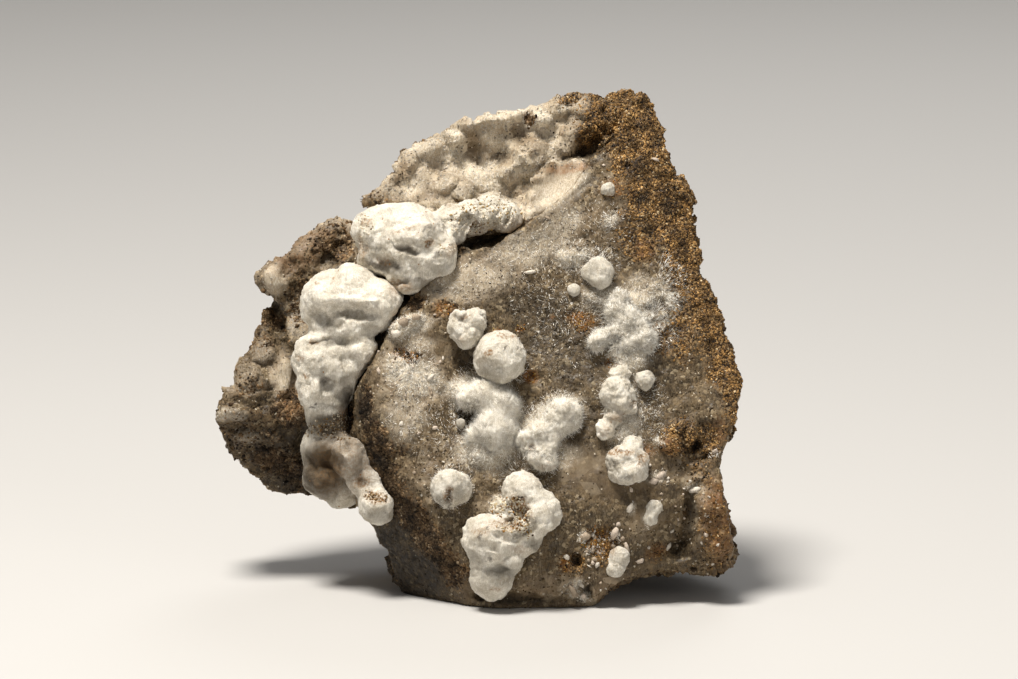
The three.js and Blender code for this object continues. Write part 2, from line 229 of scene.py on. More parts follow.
rugged = facing * patches(across, down, [
    (698, 520, 46, 60, 0.6), (600, 565, 60, 34, 0.9, -15), (520, 592, 70, 16, 0.8, 5), (690, 440, 36, 30, 1),
    (300, 250, 60, 44, 0.75, -20), (250, 370, 50, 70, 1), (280, 450, 70, 40, 1, 20), (410, 318, 26, 16, 0.6, -25),
    (440, 470, 26, 60, 0.4, -20), (590, 120, 40, 40, 0.8)])
# Broken faces from the largest to the smallest, each as its height and its size across.
lift = 0.0005 * facets(at, 0.0048) * (0.7 + 0.5 * wall + 0.7 * hidden_in)
lift += wall * (0.0022 * (facets(at, 0.0085, 13.0) - 0.4) + 0.0008 * facets(at, 0.0037, 17.0))
lift += rugged * (0.0009 * facets(at, 0.0029, 41.0) + 0.0005 * facets(at, 0.0014, 47.0))
lift += 0.00034 * facets(at, 0.0021, 7.0) * (0.9 + 0.5 * wall + 0.5 * hidden_in)
lift += 0.00017 * facets(at, 0.0009, 3.0) * (1 + 0.8 * np.maximum(margin, wall))
ledge = np.clip((deep - 0.0095) / 0.001, 0, 1) * np.clip((232 - down) / 10, 0, 1) * np.clip((600 - across) / 20, 0, 1)
lift += ledge * facing ** 2 * (0.0004 * facets(at, 0.0019, 21.0) + 0.00026 * facets(at, 0.001, 27.0))
lift = lift * rough + 0.00006 * waves(at, 0.0006) * rough
at = at + normals * (lift * np.clip(at[:, 2] / 0.0012, 0, 1))[:, None]
at[:, 2] = np.maximum(at[:, 2], 0)
reshape(rock, at)

normals = normals_of(rock)
rock_tree = tree_of(rock)
view = in_view(at, normals, rock_tree)
drift = np.array([waves(at, 0.0021, 11.0), waves(at, 0.0008, 23.0), waves(at, 0.002, 37.0), waves(at, 0.0008, 51.0)])
wide_of, high_of = across + 5 * drift[0] + 3.5 * drift[1], down + 5 * drift[2] + 3.5 * drift[3]
CRUST = [
    (618, 112, 40, 30, 1), (596, 128, 22, 22, 1), (570, 96, 16, 8, 0.8, -20), (640, 240, 26, 22, 0.85, 30),
    (643, 210, 24, 18, 0.9), (662, 340, 16, 20, 0.6), (684, 330, 16, 36, 0.8), (680, 437, 20, 22, 0.95),
    (708, 440, 14, 20, 0.9), (716, 530, 20, 44, 0.5), (700, 470, 14, 18, 0.5), (603, 543, 15, 20, 0.75, 10),
    (571, 562, 14, 13, 0.7), (656, 551, 14, 9, 0.6, -10), (367, 410, 7, 24, 1), (379, 446, 12, 24, 1, -15),
    (391, 482, 13, 24, 1, -22), (409, 512, 16, 24, 1, -38), (430, 540, 17, 26, 1, -40), (449, 566, 14, 24, 1, -35),
    (444, 309, 14, 9, 0.6), (330, 236, 30, 20, 0.35, -30), (300, 300, 18, 30, 0.5), (268, 320, 12, 10, 0.6),
    (290, 410, 20, 22, 0.9), (258, 340, 14, 20, 0.35), (267, 459, 16, 14, 0.9), (250, 440, 36, 40, 0.3, 30),
    (248, 388, 18, 14, 0.35), (340, 250, 12, 16, 0.6), (376, 205, 18, 16, 0.35), (529, 116, 5, 7, 0.8),
    (402, 449, 12, 10, 0.45), (406, 355, 16, 7, 0.6, 15), (581, 322, 16, 11, 0.7, 20), (388, 275, 22, 8, 0.8, 10),
    (412, 299, 14, 8, 0.85, 20), (300, 470, 50, 20, 0.7, 20)]
FROST = [
    (503, 508, 14, 14, 0.7), (430, 148, 30, 12, 0.6, -25), (456, 136, 10, 7, 1), (505, 113, 46, 13, 0.75, -12),
    (540, 118, 12, 11, 1), (565, 100, 10, 12, 0.8, -40), (520, 215, 20, 10, 0.8, -20), (559, 190, 34, 15, 0.72, -38),
    (485, 190, 50, 24, 0.42, -15), (444, 184, 12, 8, 0.6, -15), (410, 327, 22, 12, 0.75, -25), (412, 374, 34, 18, 0.8, 20),
    (404, 415, 22, 26, 0.4), (470, 280, 46, 20, 0.42, -8), (530, 250, 44, 18, 0.42, -15), (420, 345, 16, 8, 0.4),
    (560, 225, 30, 14, 0.4, -30), (571, 258, 18, 8, 0.8), (583, 252, 14, 7, 0.5), (611, 221, 10, 10, 0.6),
    (650, 290, 30, 12, 0.4, 20), (480, 394, 38, 17, 1, 10), (505, 422, 17, 40, 1), (487, 450, 28, 20, 1),
    (552, 420, 34, 20, 1, -30), (540, 446, 24, 20, 0.9), (632, 345, 22, 34, 0.95, 20), (618, 300, 36, 15, 0.8, 10),
    (622, 425, 20, 22, 0.7), (620, 395, 18, 22, 0.45), (555, 455, 24, 12, 0.5), (657, 477, 9, 6, 0.9, -30),
    (650, 512, 7, 12, 0.7, 15), (614, 533, 6, 7, 0.8), (585, 535, 6, 5, 1), (629, 508, 4, 5, 0.6),
    (618, 555, 9, 13, 0.6, 20), (593, 548, 7, 4, 0.8), (574, 586, 8, 10, 0.8, 35), (583, 595, 5, 5, 0.9),
    (658, 440, 6, 5, 0.6), (714, 451, 5, 4, 1), (656, 159, 4, 3, 0.9), (694, 486, 10, 5, 0.5), (272, 279, 13, 16, 0.55),
    (283, 378, 12, 22, 0.6), (262, 352, 10, 12, 0.3), (229, 415, 18, 5, 0.7, 5), (246, 436, 12, 6, 0.5, 15),
    (296, 315, 14, 26, 0.45), (310, 237, 30, 8, 0.15, -35), (250, 385, 18, 12, 0.25), (385, 190, 16, 8, 0.4, -40)]
# Dark patches on the face: partly its own dark colour (black crust, dark grey zones, holes) and partly painted shade
# and shadow in crevices, under the plate's edge and the foot's overhang, on the underside and over the left block.
DARK_AND_SHADE = [
    (462, 249, 14, 6, 1, -25), (487, 241, 18, 6, 0.95, -10), (507, 233, 9, 5, 0.9, -15), (592, 148, 22, 9, 0.75, -25),
    (575, 154, 12, 5, 0.6, -15), (612, 137, 9, 6, 0.5, -35), (640, 170, 20, 14, 0.55, 30), (674, 200, 12, 14, 0.75),
    (640, 197, 9, 7, 0.8), (652, 226, 9, 12, 0.35), (412, 300, 12, 6, 0.85, 20), (392, 272, 20, 6, 0.8, 10),
    (440, 292, 22, 8, 0.45, -10), (466, 358, 13, 11, 0.5), (470, 414, 13, 10, 0.45, -10), (540, 312, 40, 24, 0.55, 20),
    (520, 345, 26, 14, 0.4), (590, 430, 26, 20, 0.35), (655, 378, 22, 22, 0.4), (578, 356, 32, 38, 0.48),
    (500, 300, 30, 12, 0.35, -10), (600, 300, 18, 12, 0.4), (640, 470, 30, 14, 0.2), (450, 530, 16, 14, 0.25),
    (247, 330, 30, 60, 0.25, 30), (330, 262, 12, 12, 0.4, -30), (300, 252, 34, 22, 0.25, -30), (656, 306, 12, 7, 0.6, -20),
    (660, 345, 14, 10, 0.5), (606, 317, 8, 6, 0.6), (611, 361, 10, 6, 0.7, 20), (531, 377, 4.5, 4.5, 0.7),
    (694, 446, 4.5, 4.5, 0.9), (687, 452, 7, 3, 0.6, 30), (706, 457, 5, 3.5, 0.7), (690, 506, 6, 17, 0.42, -10),
    (686, 530, 8, 10, 0.32, 10), (680, 548, 8, 12, 0.42, 20), (692, 552, 8, 7, 0.4), (697, 540, 10, 14, 0.3),
    (575, 560, 4, 4, 0.8), (588, 586, 4, 9, 0.9, 30), (578, 598, 8, 4, 0.7), (516, 598, 40, 6, 0.8, 4),
    (366, 410, 9, 28, 0.9), (378, 448, 11, 24, 0.85, -15), (391, 482, 12, 24, 0.8, -22), (409, 512, 14, 24, 0.75, -38),
    (430, 540, 14, 26, 0.7, -40), (449, 568, 11, 22, 0.6, -35), (412, 575, 42, 36, 1, 30), (396, 545, 28, 32, 1),
    (400, 515, 22, 16, 0.7, -35), (324, 259, 14, 8, 0.6), (300, 280, 10, 20, 0.35), (274, 305, 10, 7, 0.6),
    (280, 455, 46, 34, 0.75, 30), (250, 425, 30, 30, 0.4), (236, 440, 26, 18, 0.5, 40), (305, 440, 20, 30, 0.8),
    (330, 375, 16, 70, 0.7), (300, 485, 40, 16, 0.85, 10), (262, 405, 16, 8, 0.4, 10), (512, 460, 18, 10, 0.3),
    (480, 455, 20, 9, 0.35), (470, 500, 14, 10, 0.3, 20), (560, 165, 14, 6, 0.2, -10)]
RUST = [
    (508, 506, 8, 6, 0.6), (444, 309, 9, 7, 0.8), (406, 355, 14, 6, 0.7, 15), (531, 376, 7, 7, 0.9),
    (552, 317, 2.5, 2.5, 1),
    (498, 330, 4, 2, 1), (520, 329, 4, 2, 1, 10), (489, 353, 3, 2, 1), (581, 321, 14, 8, 0.55, 20),
    (569, 168, 20, 5, 0.65, -8), (612, 188, 13, 9, 0.55), (643, 250, 12, 10, 0.4), (611, 362, 7, 5, 0.5),
    (640, 450, 14, 8, 0.5), (670, 446, 14, 9, 0.5), (602, 541, 9, 12, 0.5), (565, 562, 6, 9, 0.7),
    (657, 550, 12, 6, 0.4, -10), (290, 408, 16, 18, 0.5), (267, 459, 12, 9, 0.6), (376, 497, 7, 5, 0.8),
    (529, 116, 4, 6, 0.6), (392, 280, 14, 6, 0.45, 10), (416, 305, 8, 5, 0.4, 20), (524, 481, 10, 3, 0.5),
    (718, 520, 18, 42, 0.5, -4), (300, 250, 36, 18, 0.3, -30), (718, 430, 8, 16, 0.3), (505, 345, 2, 2, 0.8),
    (483, 345, 2, 2, 0.8)]
front = {"crust": np.maximum(patches(wide_of, high_of, CRUST), margin), "frost": patches(wide_of, high_of, FROST),
         "dark_and_shade": patches(across + 5 * drift[1] + 2 * drift[0], down + 5 * drift[3] + 2 * drift[2], DARK_AND_SHADE),
         "rust": patches(across, down, RUST)}
front["frost"] = np.maximum(front["frost"], (0.3 + 1.0 * waves(at, 0.0028, 43.0)) * ledge * (1 - front["dark_and_shade"]))
PALER = [
    (470, 280, 60, 26, 0.55, -8), (412, 375, 40, 50, 0.55), (430, 470, 34, 40, 0.4), (600, 222, 60, 20, 0.4, -30),
    (480, 575, 24, 30, 0.35), (272, 281, 14, 17, 0.8), (300, 246, 50, 24, 0.3, -35), (283, 376, 16, 28, 0.8),
    (240, 385, 20, 14, 0.5), (236, 440, 18, 12, 0.35, 30), (330, 268, 16, 12, 0.5), (250, 350, 20, 24, 0.4),
    (700, 520, 14, 34, 0.4), (690, 470, 20, 16, 0.4), (600, 588, 34, 18, 0.75), (545, 588, 34, 16, 0.65),
    (610, 470, 60, 24, 0.3), (500, 510, 22, 18, 0.8), (512, 440, 40, 40, 0.35), (612, 580, 18, 18, 0.4),
    (640, 520, 26, 26, 0.3), (345, 240, 16, 20, 0.4), (262, 345, 10, 16, 0.4)]
front["pale"] = np.maximum(patches(wide_of, high_of, PALER), ledge * (1 - 0.7 * front["crust"]) * 0.85)
cloud = waves(at, 0.009, 5.0) + 0.5 * waves(at, 0.003, 9.0)
plates = facets(at, 0.0085, 13.0) + 0.35 * facets(at, 0.004, 33.0)
behind = {"crust": np.clip(0.8 + 1.8 * cloud + 3 * plates, 0.05, 1),
          "frost": np.clip(-0.5 - 1.4 * cloud - 3 * plates, 0, 0.5),
          "pale": np.clip(0.1 - 1.2 * cloud - 2.6 * plates, 0, 0.7),
          "dark_and_shade": np.clip(1.1 * waves(at, 0.005, 15.0) - 0.15, 0, 0.6),
          "rust": np.clip(1.6 * waves(at, 0.006, 19.0) - 0.55, 0, 0.6)}
paint = {name: front[name] * view + behind[name] * (1 - view) for name in front}
for name, values in paint.items():
    keep(rock, name, values)
keep(rock, "calm", calm * view)


def colour(red, green, blue):
    """A screen colour of 0 to 255 as the linear one that a material takes."""
    return tuple(c / 3294.6 if c < 10.3 else ((c / 255 + 0.055) / 1.055) ** 2.4 for c in (red, green, blue)) + (1.0,)


def finish(name):
    made = bpy.data.materials.new(name)
    made.use_nodes = True
    return made, made.node_tree, made.node_tree.nodes["Principled BSDF"]


def add(tree, kind, links=None, **settings):
    """Adds a node. links gives its inputs, each by name or number, a value or another node's output."""
    made = tree.nodes.new("ShaderNode" + kind)
    for name, value in settings.items():
        setattr(made, name, value)
    for key, value in (links or {}).items():
        if isinstance(value, bpy.types.NodeSocket):
            tree.links.new(value, made.inputs[key])
        else:
            made.inputs[key].default_value = value
    return made


def mixed(tree, amount, first, second, kind="MIX"):
    made = add(tree, "Mix", {0: amount, 6: first, 7: second}, data_type="RGBA", blend_type=kind)
    return made.outputs[2]


def maths(tree, kind, first, second=0.0, third=0.0):
    made = add(tree, "Math", {0: first, 1: second, 2: third}, operation=kind)
    made.use_clamp = True
    return made.outputs[0]


def ramp(tree, value, stops, kind="LINEAR"):
    made = add(tree, "ValToRGB", {0: value})
    made.color_ramp.interpolation = kind
    while len(made.color_ramp.elements) < len(stops):
        made.color_ramp.elements.new(0.5)
    for element, (position, tone) in zip(made.color_ramp.elements, stops):
        element.position = position
        element.color = tone
    return made.outputs[0]


def spread(tree, value, factor, offset=0.0):
    """A value times a factor, plus an offset, kept from 0 to 1."""
    return maths(tree, "MULTIPLY_ADD", value, factor, offset)


def painted(tree, name, field="Fac"):
    return add(tree, "Attribute", attribute_name=name).outputs[field]


def clouds(tree, where, scale, detail=2, roughness=0.5, distortion=0.0):
    settings = {"Vector": where, "Scale": scale, "Detail": detail, "Roughness": roughness, "Distortion": distortion}
    return add(tree, "TexNoise", settings).outputs["Fac"]


def cells(tree, where, scale, channel=0):
    """Grains packed together: how far off each one's middle is, and a number of its own."""
    made = add(tree, "TexVoronoi", {"Vector": where, "Scale": scale})
    return made.outputs["Distance"], add(tree, "SeparateColor", {0: made.outputs["Color"]}).outputs[channel]


def glowing(shader, weight, reach, size):
    """Lets light into the surface and out again, as in a translucent mineral."""
    shader.inputs["Subsurface Weight"].default_value = weight
    shader.inputs["Subsurface Radius"].default_value = reach
    shader.inputs["Subsurface Scale"].default_value = size


def felted(tree, where, scale):
    """Fine strands that cross in four directions."""
    felt = None
    for turn in ((0.4, 0.3, 0.2), (1.3, 2.2, 0.7), (2.4, 1.1, 2.9), (0.9, 2.9, 1.8)):
        combed = add(tree, "Mapping", {"Vector": where, "Rotation": turn, "Scale": (6.0, 6.0, 0.9)}).outputs[0]
        strand = clouds(tree, combed, scale, 2, 0.6, 1.2)
        felt = strand if felt is None else maths(tree, "MAXIMUM", felt, strand)
    return felt


stone, tree, shader = finish("borate_rock")
where = add(tree, "TexCoord").outputs["Object"]
cloudy = clouds(tree, where, 420, 5, 0.6)
streaky = clouds(tree, where, 1500, 3, 0.7)
sugar, sugar_tone = cells(tree, where, 2900)
sand, sand_tone = cells(tree, where, 4300)
speck, speck_tone = cells(tree, where, 1500, 1)
plain = ramp(tree, cloudy, [(0.34, colour(49, 38, 23)), (0.5, colour(77, 62, 40)), (0.66, colour(118, 100, 73))])
grainy = ramp(tree, sugar_tone, [(0.0, colour(40, 31, 19)), (0.5, colour(72, 58, 37)), (0.88, colour(106, 88, 61)),
                                 (1.0, colour(184, 168, 138))])
rough_part = spread(tree, painted(tree, "calm"), -0.5, 0.62)
body = mixed(tree, rough_part, plain, grainy)
block_tone = cells(tree, where, 760, 2)[1]
clear = ramp(tree, spread(tree, block_tone, 0.45, spread(tree, cloudy, 0.55)),
             [(0.25, colour(88, 73, 53)), (0.5, colour(134, 115, 91)), (0.75, colour(188, 173, 149))])
body = mixed(tree, painted(tree, "pale"), body, clear)
felt = felted(tree, where, 1100)
white = ramp(tree, felt, [(0.5, colour(176, 161, 136)), (0.6, colour(212, 200, 179)), (0.72, colour(240, 232, 216))])
strands = maths(tree, "MULTIPLY", spread(tree, felt, 5.0, -2.75), spread(tree, painted(tree, "calm"), -0.35, 0.4))
body = mixed(tree, strands, body, colour(172, 156, 130))
frosted = maths(tree, "MULTIPLY", painted(tree, "frost"), spread(tree, streaky, 1.5, 0.25))
body = mixed(tree, frosted, body, white)
earth = ramp(tree, sand_tone, [(0.0, colour(28, 20, 12)), (0.25, colour(58, 43, 26)), (0.55, colour(96, 72, 43)),
                               (0.85, colour(138, 108, 68)), (1.0, colour(180, 150, 104))])
body = mixed(tree, painted(tree, "crust"), body, earth)
rusty = maths(tree, "MULTIPLY", painted(tree, "rust"), spread(tree, streaky, 2.4, -0.55))
body = mixed(tree, rusty, body, colour(148, 96, 44))
# Darkens the rock by the dark patches: partly its own dark colour, partly painted shade and shadow.
dark_and_shade_amount = maths(tree, "MULTIPLY", painted(tree, "dark_and_shade"), spread(tree, streaky, 2.0, -0.15))
body = mixed(tree, dark_and_shade_amount, body, colour(30, 24, 16))
near_speck = maths(tree, "MULTIPLY", maths(tree, "LESS_THAN", speck, 0.16), maths(tree, "GREATER_THAN", speck_tone, 0.93))
body = mixed(tree, near_speck, body, colour(58, 44, 27))
tree.links.new(body, shader.inputs["Base Color"])
tree.links.new(spread(tree, sugar_tone, 0.35, 0.42), shader.inputs["Roughness"])
relief = maths(tree, "MULTIPLY", sand, painted(tree, "crust"))
relief = maths(tree, "ADD", maths(tree, "MULTIPLY", sugar, rough_part), relief)
bump = add(tree, "Bump", {"Strength": 0.7, "Distance": 0.00016, "Height": relief}, invert=True)
tree.links.new(bump.outputs[0], shader.inputs["Normal"])
shader.inputs["Specular IOR Level"].default_value = 0.3
glowing(shader, 0.25, (1.0, 0.85, 0.65), 0.0009)
rock.data.materials.append(stone)
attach(rock, "root")
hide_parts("rock")


# Upper seam mass
# A chalky white mass of gowerite needles grown into one another, with faint growth lines, hollows and a few ochre stains.
# It fills the seam on the left, and a crumbly tail of small lumps runs from it along the seam.
def chalk(name, stained=0.5):
    """White gowerite: fine needles that radiate from the middle of each lump, felted to a chalky skin."""
    made, tree, shader = finish(name)
    where = add(tree, "TexCoord").outputs["Object"]
    fibre = clouds(tree, painted(tree, "ray", "Vector"), 16, 4, 0.75)
    fine = clouds(tree, where, 4200)
    felt = felted(tree, where, 1500)
    speck, speck_tone = cells(tree, where, 1300)
    tone = ramp(tree, clouds(tree, where, 700, 4),
                [(0.3, colour(188, 179, 161)), (0.5, colour(220, 213, 198)), (0.68, colour(240, 235, 223))])
    tone = mixed(tree, spread(tree, fibre, 2.2, -1.0), tone, colour(176, 166, 148))
    tone = mixed(tree, spread(tree, fine, 1.8, -0.9), tone, colour(190, 181, 164))
    # Painted shadow in the gaps between the felted fibres, and a painted highlight on the fibres themselves.
    tone = mixed(tree, spread(tree, felt, -3.0, 1.8), tone, colour(150, 137, 113))
    tone = mixed(tree, spread(tree, felt, 4.0, -2.4), tone, colour(253, 250, 244))
    # Painted shade in hollows, creases, under lumps and down the lower mass, and a greyer tone on the branching tuft.
    tone = mixed(tree, painted(tree, "shade_and_grey"), tone, colour(76, 67, 53))
    rusty = maths(tree, "MULTIPLY", painted(tree, "stain"), spread(tree, fine, 3.2, -0.9))
    tone = mixed(tree, rusty, tone, colour(136, 94, 34))
    # Painted shade in pits, dents and crevices, with a few real dark specks.
    deep = maths(tree, "MULTIPLY", painted(tree, "pit_shade_and_specks"), spread(tree, fine, 1.6, 0.2))
    tone = mixed(tree, deep, tone, colour(52, 40, 26))
    chosen = maths(tree, "GREATER_THAN", speck_tone, 1 - 0.16 * stained)
    near = maths(tree, "MULTIPLY", maths(tree, "LESS_THAN", speck, 0.12), chosen)
    tone = mixed(tree, near, tone, colour(150, 104, 50))
    tree.links.new(tone, shader.inputs["Base Color"])
    shader.inputs["Roughness"].default_value = 0.85
    relief = spread(tree, fibre, 0.6, spread(tree, felt, 0.2, spread(tree, fine, 0.4)))
    bump = add(tree, "Bump", {"Strength": 0.8, "Distance": 0.0003, "Height": relief})
    tree.links.new(bump.outputs[0], shader.inputs["Normal"])
    glowing(shader, 0.2, (1.0, 0.9, 0.75), 0.0006)
    return made


def growth(node, dot, rounds, middles, material, shape=(), stain=(), pit_shade_and_specks=(), shade_and_grey=(), folds=1.0, plump=0.35, close=0.35,
           crumb=0.0, ball=0.0):
    """One growth of needles: a fine skin over its solid, folded and crumbed, with the lumps and hollows that it shows.

    plump and close are in mm: how much fuller than its solid it is, and how deep its creases are filled.
    folds, crumb and ball say how strongly it is folded, broken into crumbs, and drawn to one round ball.
    """
    piece = smooth_copy(node, node + "_growth", dot, rounds, plump * 0.001, close * 0.001)
    at = points_of(piece)
    if ball:
        outer = np.clip(-normals_of(piece) @ INWARDS * 2 + 1, 0, 1)
        skin = at[outer > 0.8]
        fit = np.linalg.lstsq(np.c_[2 * skin, np.ones(len(skin))], (skin ** 2).sum(axis=1), rcond=None)[0]
        away = at - fit[:3]
        reach = np.linalg.norm(away, axis=1)
        at = at + away * (ball * outer * (math.sqrt(fit[3] + fit[:3] @ fit[:3]) / reach - 1))[:, None]
        reshape(piece, at)
    across, down, _ = seen(at)
    facing = np.clip(-normals_of(piece) @ INWARDS * 2 + 0.3, 0, 1)
    at = swell(at, across, down, facing, shape)
    reshape(piece, at)
    out = normals_of(piece)
    crease = np.abs(waves(at, 0.0021, 3.0)) - 0.2
    lift = 0.0003 * waves(at, 0.0017) + 0.0003 * crease + 0.00014 * waves(at, 0.0006, 8.0) + 0.00008 * waves(at, 0.00028)
    lift = lift * folds + (0.00003 if ball else 0.00011) * facets(at, 0.0007, 4.0)
    if crumb:
        lift += crumb * 0.001 * facets(at, 0.0014, 2.0) * patches(across, down, CRUMBLED)
    at = at + out * lift[:, None]
    at[:, 2] = np.maximum(at[:, 2], 0.0001)
    reshape(piece, at)
    centres = np.array([place(*m) for m in middles]) if middles else np.array([at.mean(axis=0)])
    gap = at[:, None, :] - centres[None, :, :]
    nearest = np.linalg.norm(gap, axis=2).argmin(axis=1)
    ray = gap[np.arange(len(at)), nearest]
    ray = ray / np.linalg.norm(ray, axis=1)[:, None]
    keep(piece, "ray", ray)
    wobble = 2.5 * waves(at, 0.0007, 5.0) + 2.5 * waves(at, 0.0003, 25.0)
    # Stain is a real ochre film; the other two tables paint shade into pits, dents, creases and undersides, with a few
    # real dark specks and a greyer tone on the branching tuft.
    for name, places in (("stain", stain), ("pit_shade_and_specks", pit_shade_and_specks), ("shade_and_grey", shade_and_grey)):
        keep(piece, name, patches(across + wobble, down - wobble, places) * np.clip(facing * 2, 0, 1))
    piece.data.materials.append(material)
    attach(piece, "root")
    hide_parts(node)
    return piece


def middle(x, inwards, z):
    """A lump's middle as seen, from mm across from the plate's left part, inwards and up the face."""
    return CORNER_ACROSS + x * 0.001 / DOT, CORNER_DOWN - z * 0.001 / DOT, inwards * 0.001


CRUMBLED = [
    (480, 218, 36, 22, 1, -10), (366, 232, 10, 22, 0.8), (330, 425, 26, 12, 0.7), (330, 470, 30, 30, 0.5),
    (518, 518, 16, 22, 0.9, -20), (466, 325, 22, 22, 0.7), (620, 400, 30, 50, 0.8), (536, 455, 22, 16, 0.6),
    (408, 250, 54, 44, 0.4), (350, 306, 56, 34, 0.35), (334, 368, 48, 44, 0.5)]
UPPER_MIDDLES = [middle(-7.1, 8.6, 38.2), middle(-11.4, 9.6, 39.2), middle(-4.6, 8.4, 36.6), middle(-1.9, 10.0, 40.4),
                 middle(1.9, 10.6, 41.0)]
upper_mass = growth(
    "upper_seam_mass", 0.00017, 5, UPPER_MIDDLES, chalk("upper_mass_chalk", 0.7), folds=0.8, crumb=0.85,
    shape=[(407, 251, 13, 4, -0.5, 15), (429, 243, 4, 4, -0.15), (441, 258, 8, 6, -0.3), (392, 262, 14, 7, -0.6, 20),
           (378, 236, 14, 12, 0.5), (414, 232, 20, 11, 0.5, -10), (425, 262, 12, 8, 0.5), (452, 236, 9, 8, 0.4),
           (400, 282, 10, 5, -0.5), (479, 226, 6, 4, -0.6), (470, 210, 8, 7, 0.4), (492, 215, 8, 8, 0.4),
           (466, 224, 4, 12, -0.5, 10), (368, 222, 8, 5, 0.3), (508, 217, 3, 10, -0.4, 20)],
    stain=[(429, 243, 5, 5, 1), (405, 230, 14, 3, 0.55, -20), (368, 222, 8, 5, 0.7), (479, 226, 6, 5, 0.9),
           (362, 248, 5, 14, 0.5), (395, 285, 20, 5, 0.6, 10), (510, 222, 14, 4, 0.4, -30), (470, 195, 12, 4, 0.35),
           (448, 205, 5, 4, 0.5), (384, 262, 8, 3, 0.5, 30), (452, 250, 10, 5, 0.5, -30)],
    pit_shade_and_specks=[(429, 244, 2, 2.5, 0.5), (406, 251, 5, 1.8, 0.5, 20), (376, 266, 12, 4, 0.7, 20), (446, 206, 2, 2, 0.9),
         (440, 254, 2, 2, 0.5), (478, 227, 3, 2, 0.5)],
    shade_and_grey=[(407, 251, 13, 5, 0.8, 15), (390, 268, 16, 6, 0.7, 15), (420, 284, 26, 6, 0.6, 5), (372, 256, 10, 12, 0.35, 20),
            (440, 270, 12, 8, 0.3)])

# Lower seam mass
# The chain of big white masses that hangs down the seam, grown together: rounded lumps with lit crests, concave shaded
# flanks and dark specks, greyer and in shade further down.
LOWER_MIDDLES = [middle(-15.2, 9.6, 31.6), middle(-11.6, 9.0, 31.6), middle(-16.5, 9.6, 24.6), middle(-14.4, 9.0, 24.4),
                 middle(-15.7, 10.6, 19.2), middle(-16.2, 12.4, 14.6), middle(-13.3, 9.0, 15.7), middle(-11.3, 8.2, 11.8)]
lower_mass = growth(
    "lower_seam_mass", 0.00018, 5, LOWER_MIDDLES, chalk("lower_mass_chalk", 0.5), folds=0.8, crumb=0.65,
    shape=[(356, 314, 24, 6, -0.9, 4), (336, 322, 10, 6, -0.4, 30), (350, 300, 26, 5, 0.6, 2), (352, 412, 8, 22, -1.5),
           (348, 386, 6, 8, -0.6), (308, 424, 6, 10, -0.6), (322, 296, 14, 14, 0.4), (384, 300, 12, 14, 0.5),
           (322, 318, 12, 8, -0.6, 20), (330, 342, 22, 5, -0.5, -8), (336, 376, 10, 13, 0.8, -20), (318, 362, 10, 12, 0.3),
           (328, 386, 8, 8, -0.7), (312, 390, 8, 14, 0.3, 15), (360, 352, 9, 9, 0.4), (344, 396, 10, 6, -0.5, 20),
           (330, 428, 8, 6, -0.7), (320, 448, 14, 8, 0.4, -10), (334, 462, 14, 8, -0.6), (320, 482, 16, 8, 0.4, 15),
           (362, 482, 6, 5, -0.4, 30), (345, 446, 5, 10, -0.6, -20), (304, 470, 6, 10, 0.4), (352, 458, 9, 12, 0.5),
           (372, 505, 12, 6, 0.3, 20)],
    stain=[(318, 283, 4, 2, 0.9), (334, 279, 3, 2, 0.7), (315, 343, 6, 3, 0.7), (300, 358, 4, 4, 0.7),
           (306, 376, 4, 3, 0.8), (398, 320, 5, 12, 0.4), (376, 497, 14, 6, 1, 15), (360, 430, 18, 5, 0.5),
           (362, 482, 9, 6, 0.7, 20), (345, 465, 36, 38, 0.3), (345, 412, 10, 4, 0.5, 20), (394, 290, 5, 8, 0.5),
           (352, 420, 16, 6, 0.5)],
    pit_shade_and_specks=[(314, 344, 3, 2, 0.9), (313, 407, 4, 2, 0.9), (326, 380, 5, 4, 0.6), (360, 480, 4, 2, 0.5, 30),
         (353, 412, 6, 20, 0.9),
         (322, 434, 5, 4, 0.7), (340, 418, 14, 4, 0.7), (330, 407, 14, 3, 0.4, 10), (386, 512, 2, 2, 0.9),
         (336, 438, 6, 3, 0.5)],
    shade_and_grey=[(356, 315, 24, 5, 0.45, 4), (322, 318, 12, 7, 0.5, 20), (330, 342, 24, 6, 0.4, -8), (328, 386, 9, 8, 0.5),
            (330, 426, 28, 14, 0.9), (322, 470, 28, 34, 1), (336, 374, 20, 15, 0.35), (345, 440, 30, 16, 0.6),
            (350, 410, 12, 24, 0.7), (372, 330, 10, 8, 0.3), (346, 396, 12, 8, 0.5, 20),
            (360, 462, 18, 26, 0.55), (380, 516, 16, 8, 0.4), (345, 355, 12, 7, 0.3)])

# Balls and tufts on the face
# Single balls of white needles and clusters of them, two to five millimetres across, each grown on the plate. Some have a
# tight chalky skin, others are soft tufts, and a rusty film lies in their pits.
face_chalk = chalk("face_chalk", 0.4)
knobby = growth(
    "knobby_ball", 0.00011, 8, [], face_chalk, folds=1.4, crumb=0.3,
    shape=[(467, 322, 5, 6, 0.35), (460, 313, 6, 5, 0.4), (479, 318, 8, 8, 0.4), (458, 327, 6, 6, 0.3),
           (467, 340, 9, 5, 0.3), (478, 334, 8, 6, 0.3)],
    stain=[(464, 317, 4, 3, 0.5), (460, 340, 8, 3, 0.3)], shade_and_grey=[(465, 320, 5, 4, 0.4)])
round_ball = growth(
    "round_ball", 0.00012, 20, [], face_chalk, folds=0.9, plump=0.4, ball=0.85,
    shape=[(484, 366, 8, 8, -0.5), (492, 376, 10, 5, -0.3, 10)],
    stain=[(489, 353, 4, 3, 1), (506, 336, 14, 2, 0.8, 8), (484, 358, 4, 6, 0.3)],
    pit_shade_and_specks=[(505, 348, 1.2, 1.2, 1), (512, 380, 3, 1.5, 0.8, -30)], shade_and_grey=[(492, 372, 14, 9, 0.35, 10)])
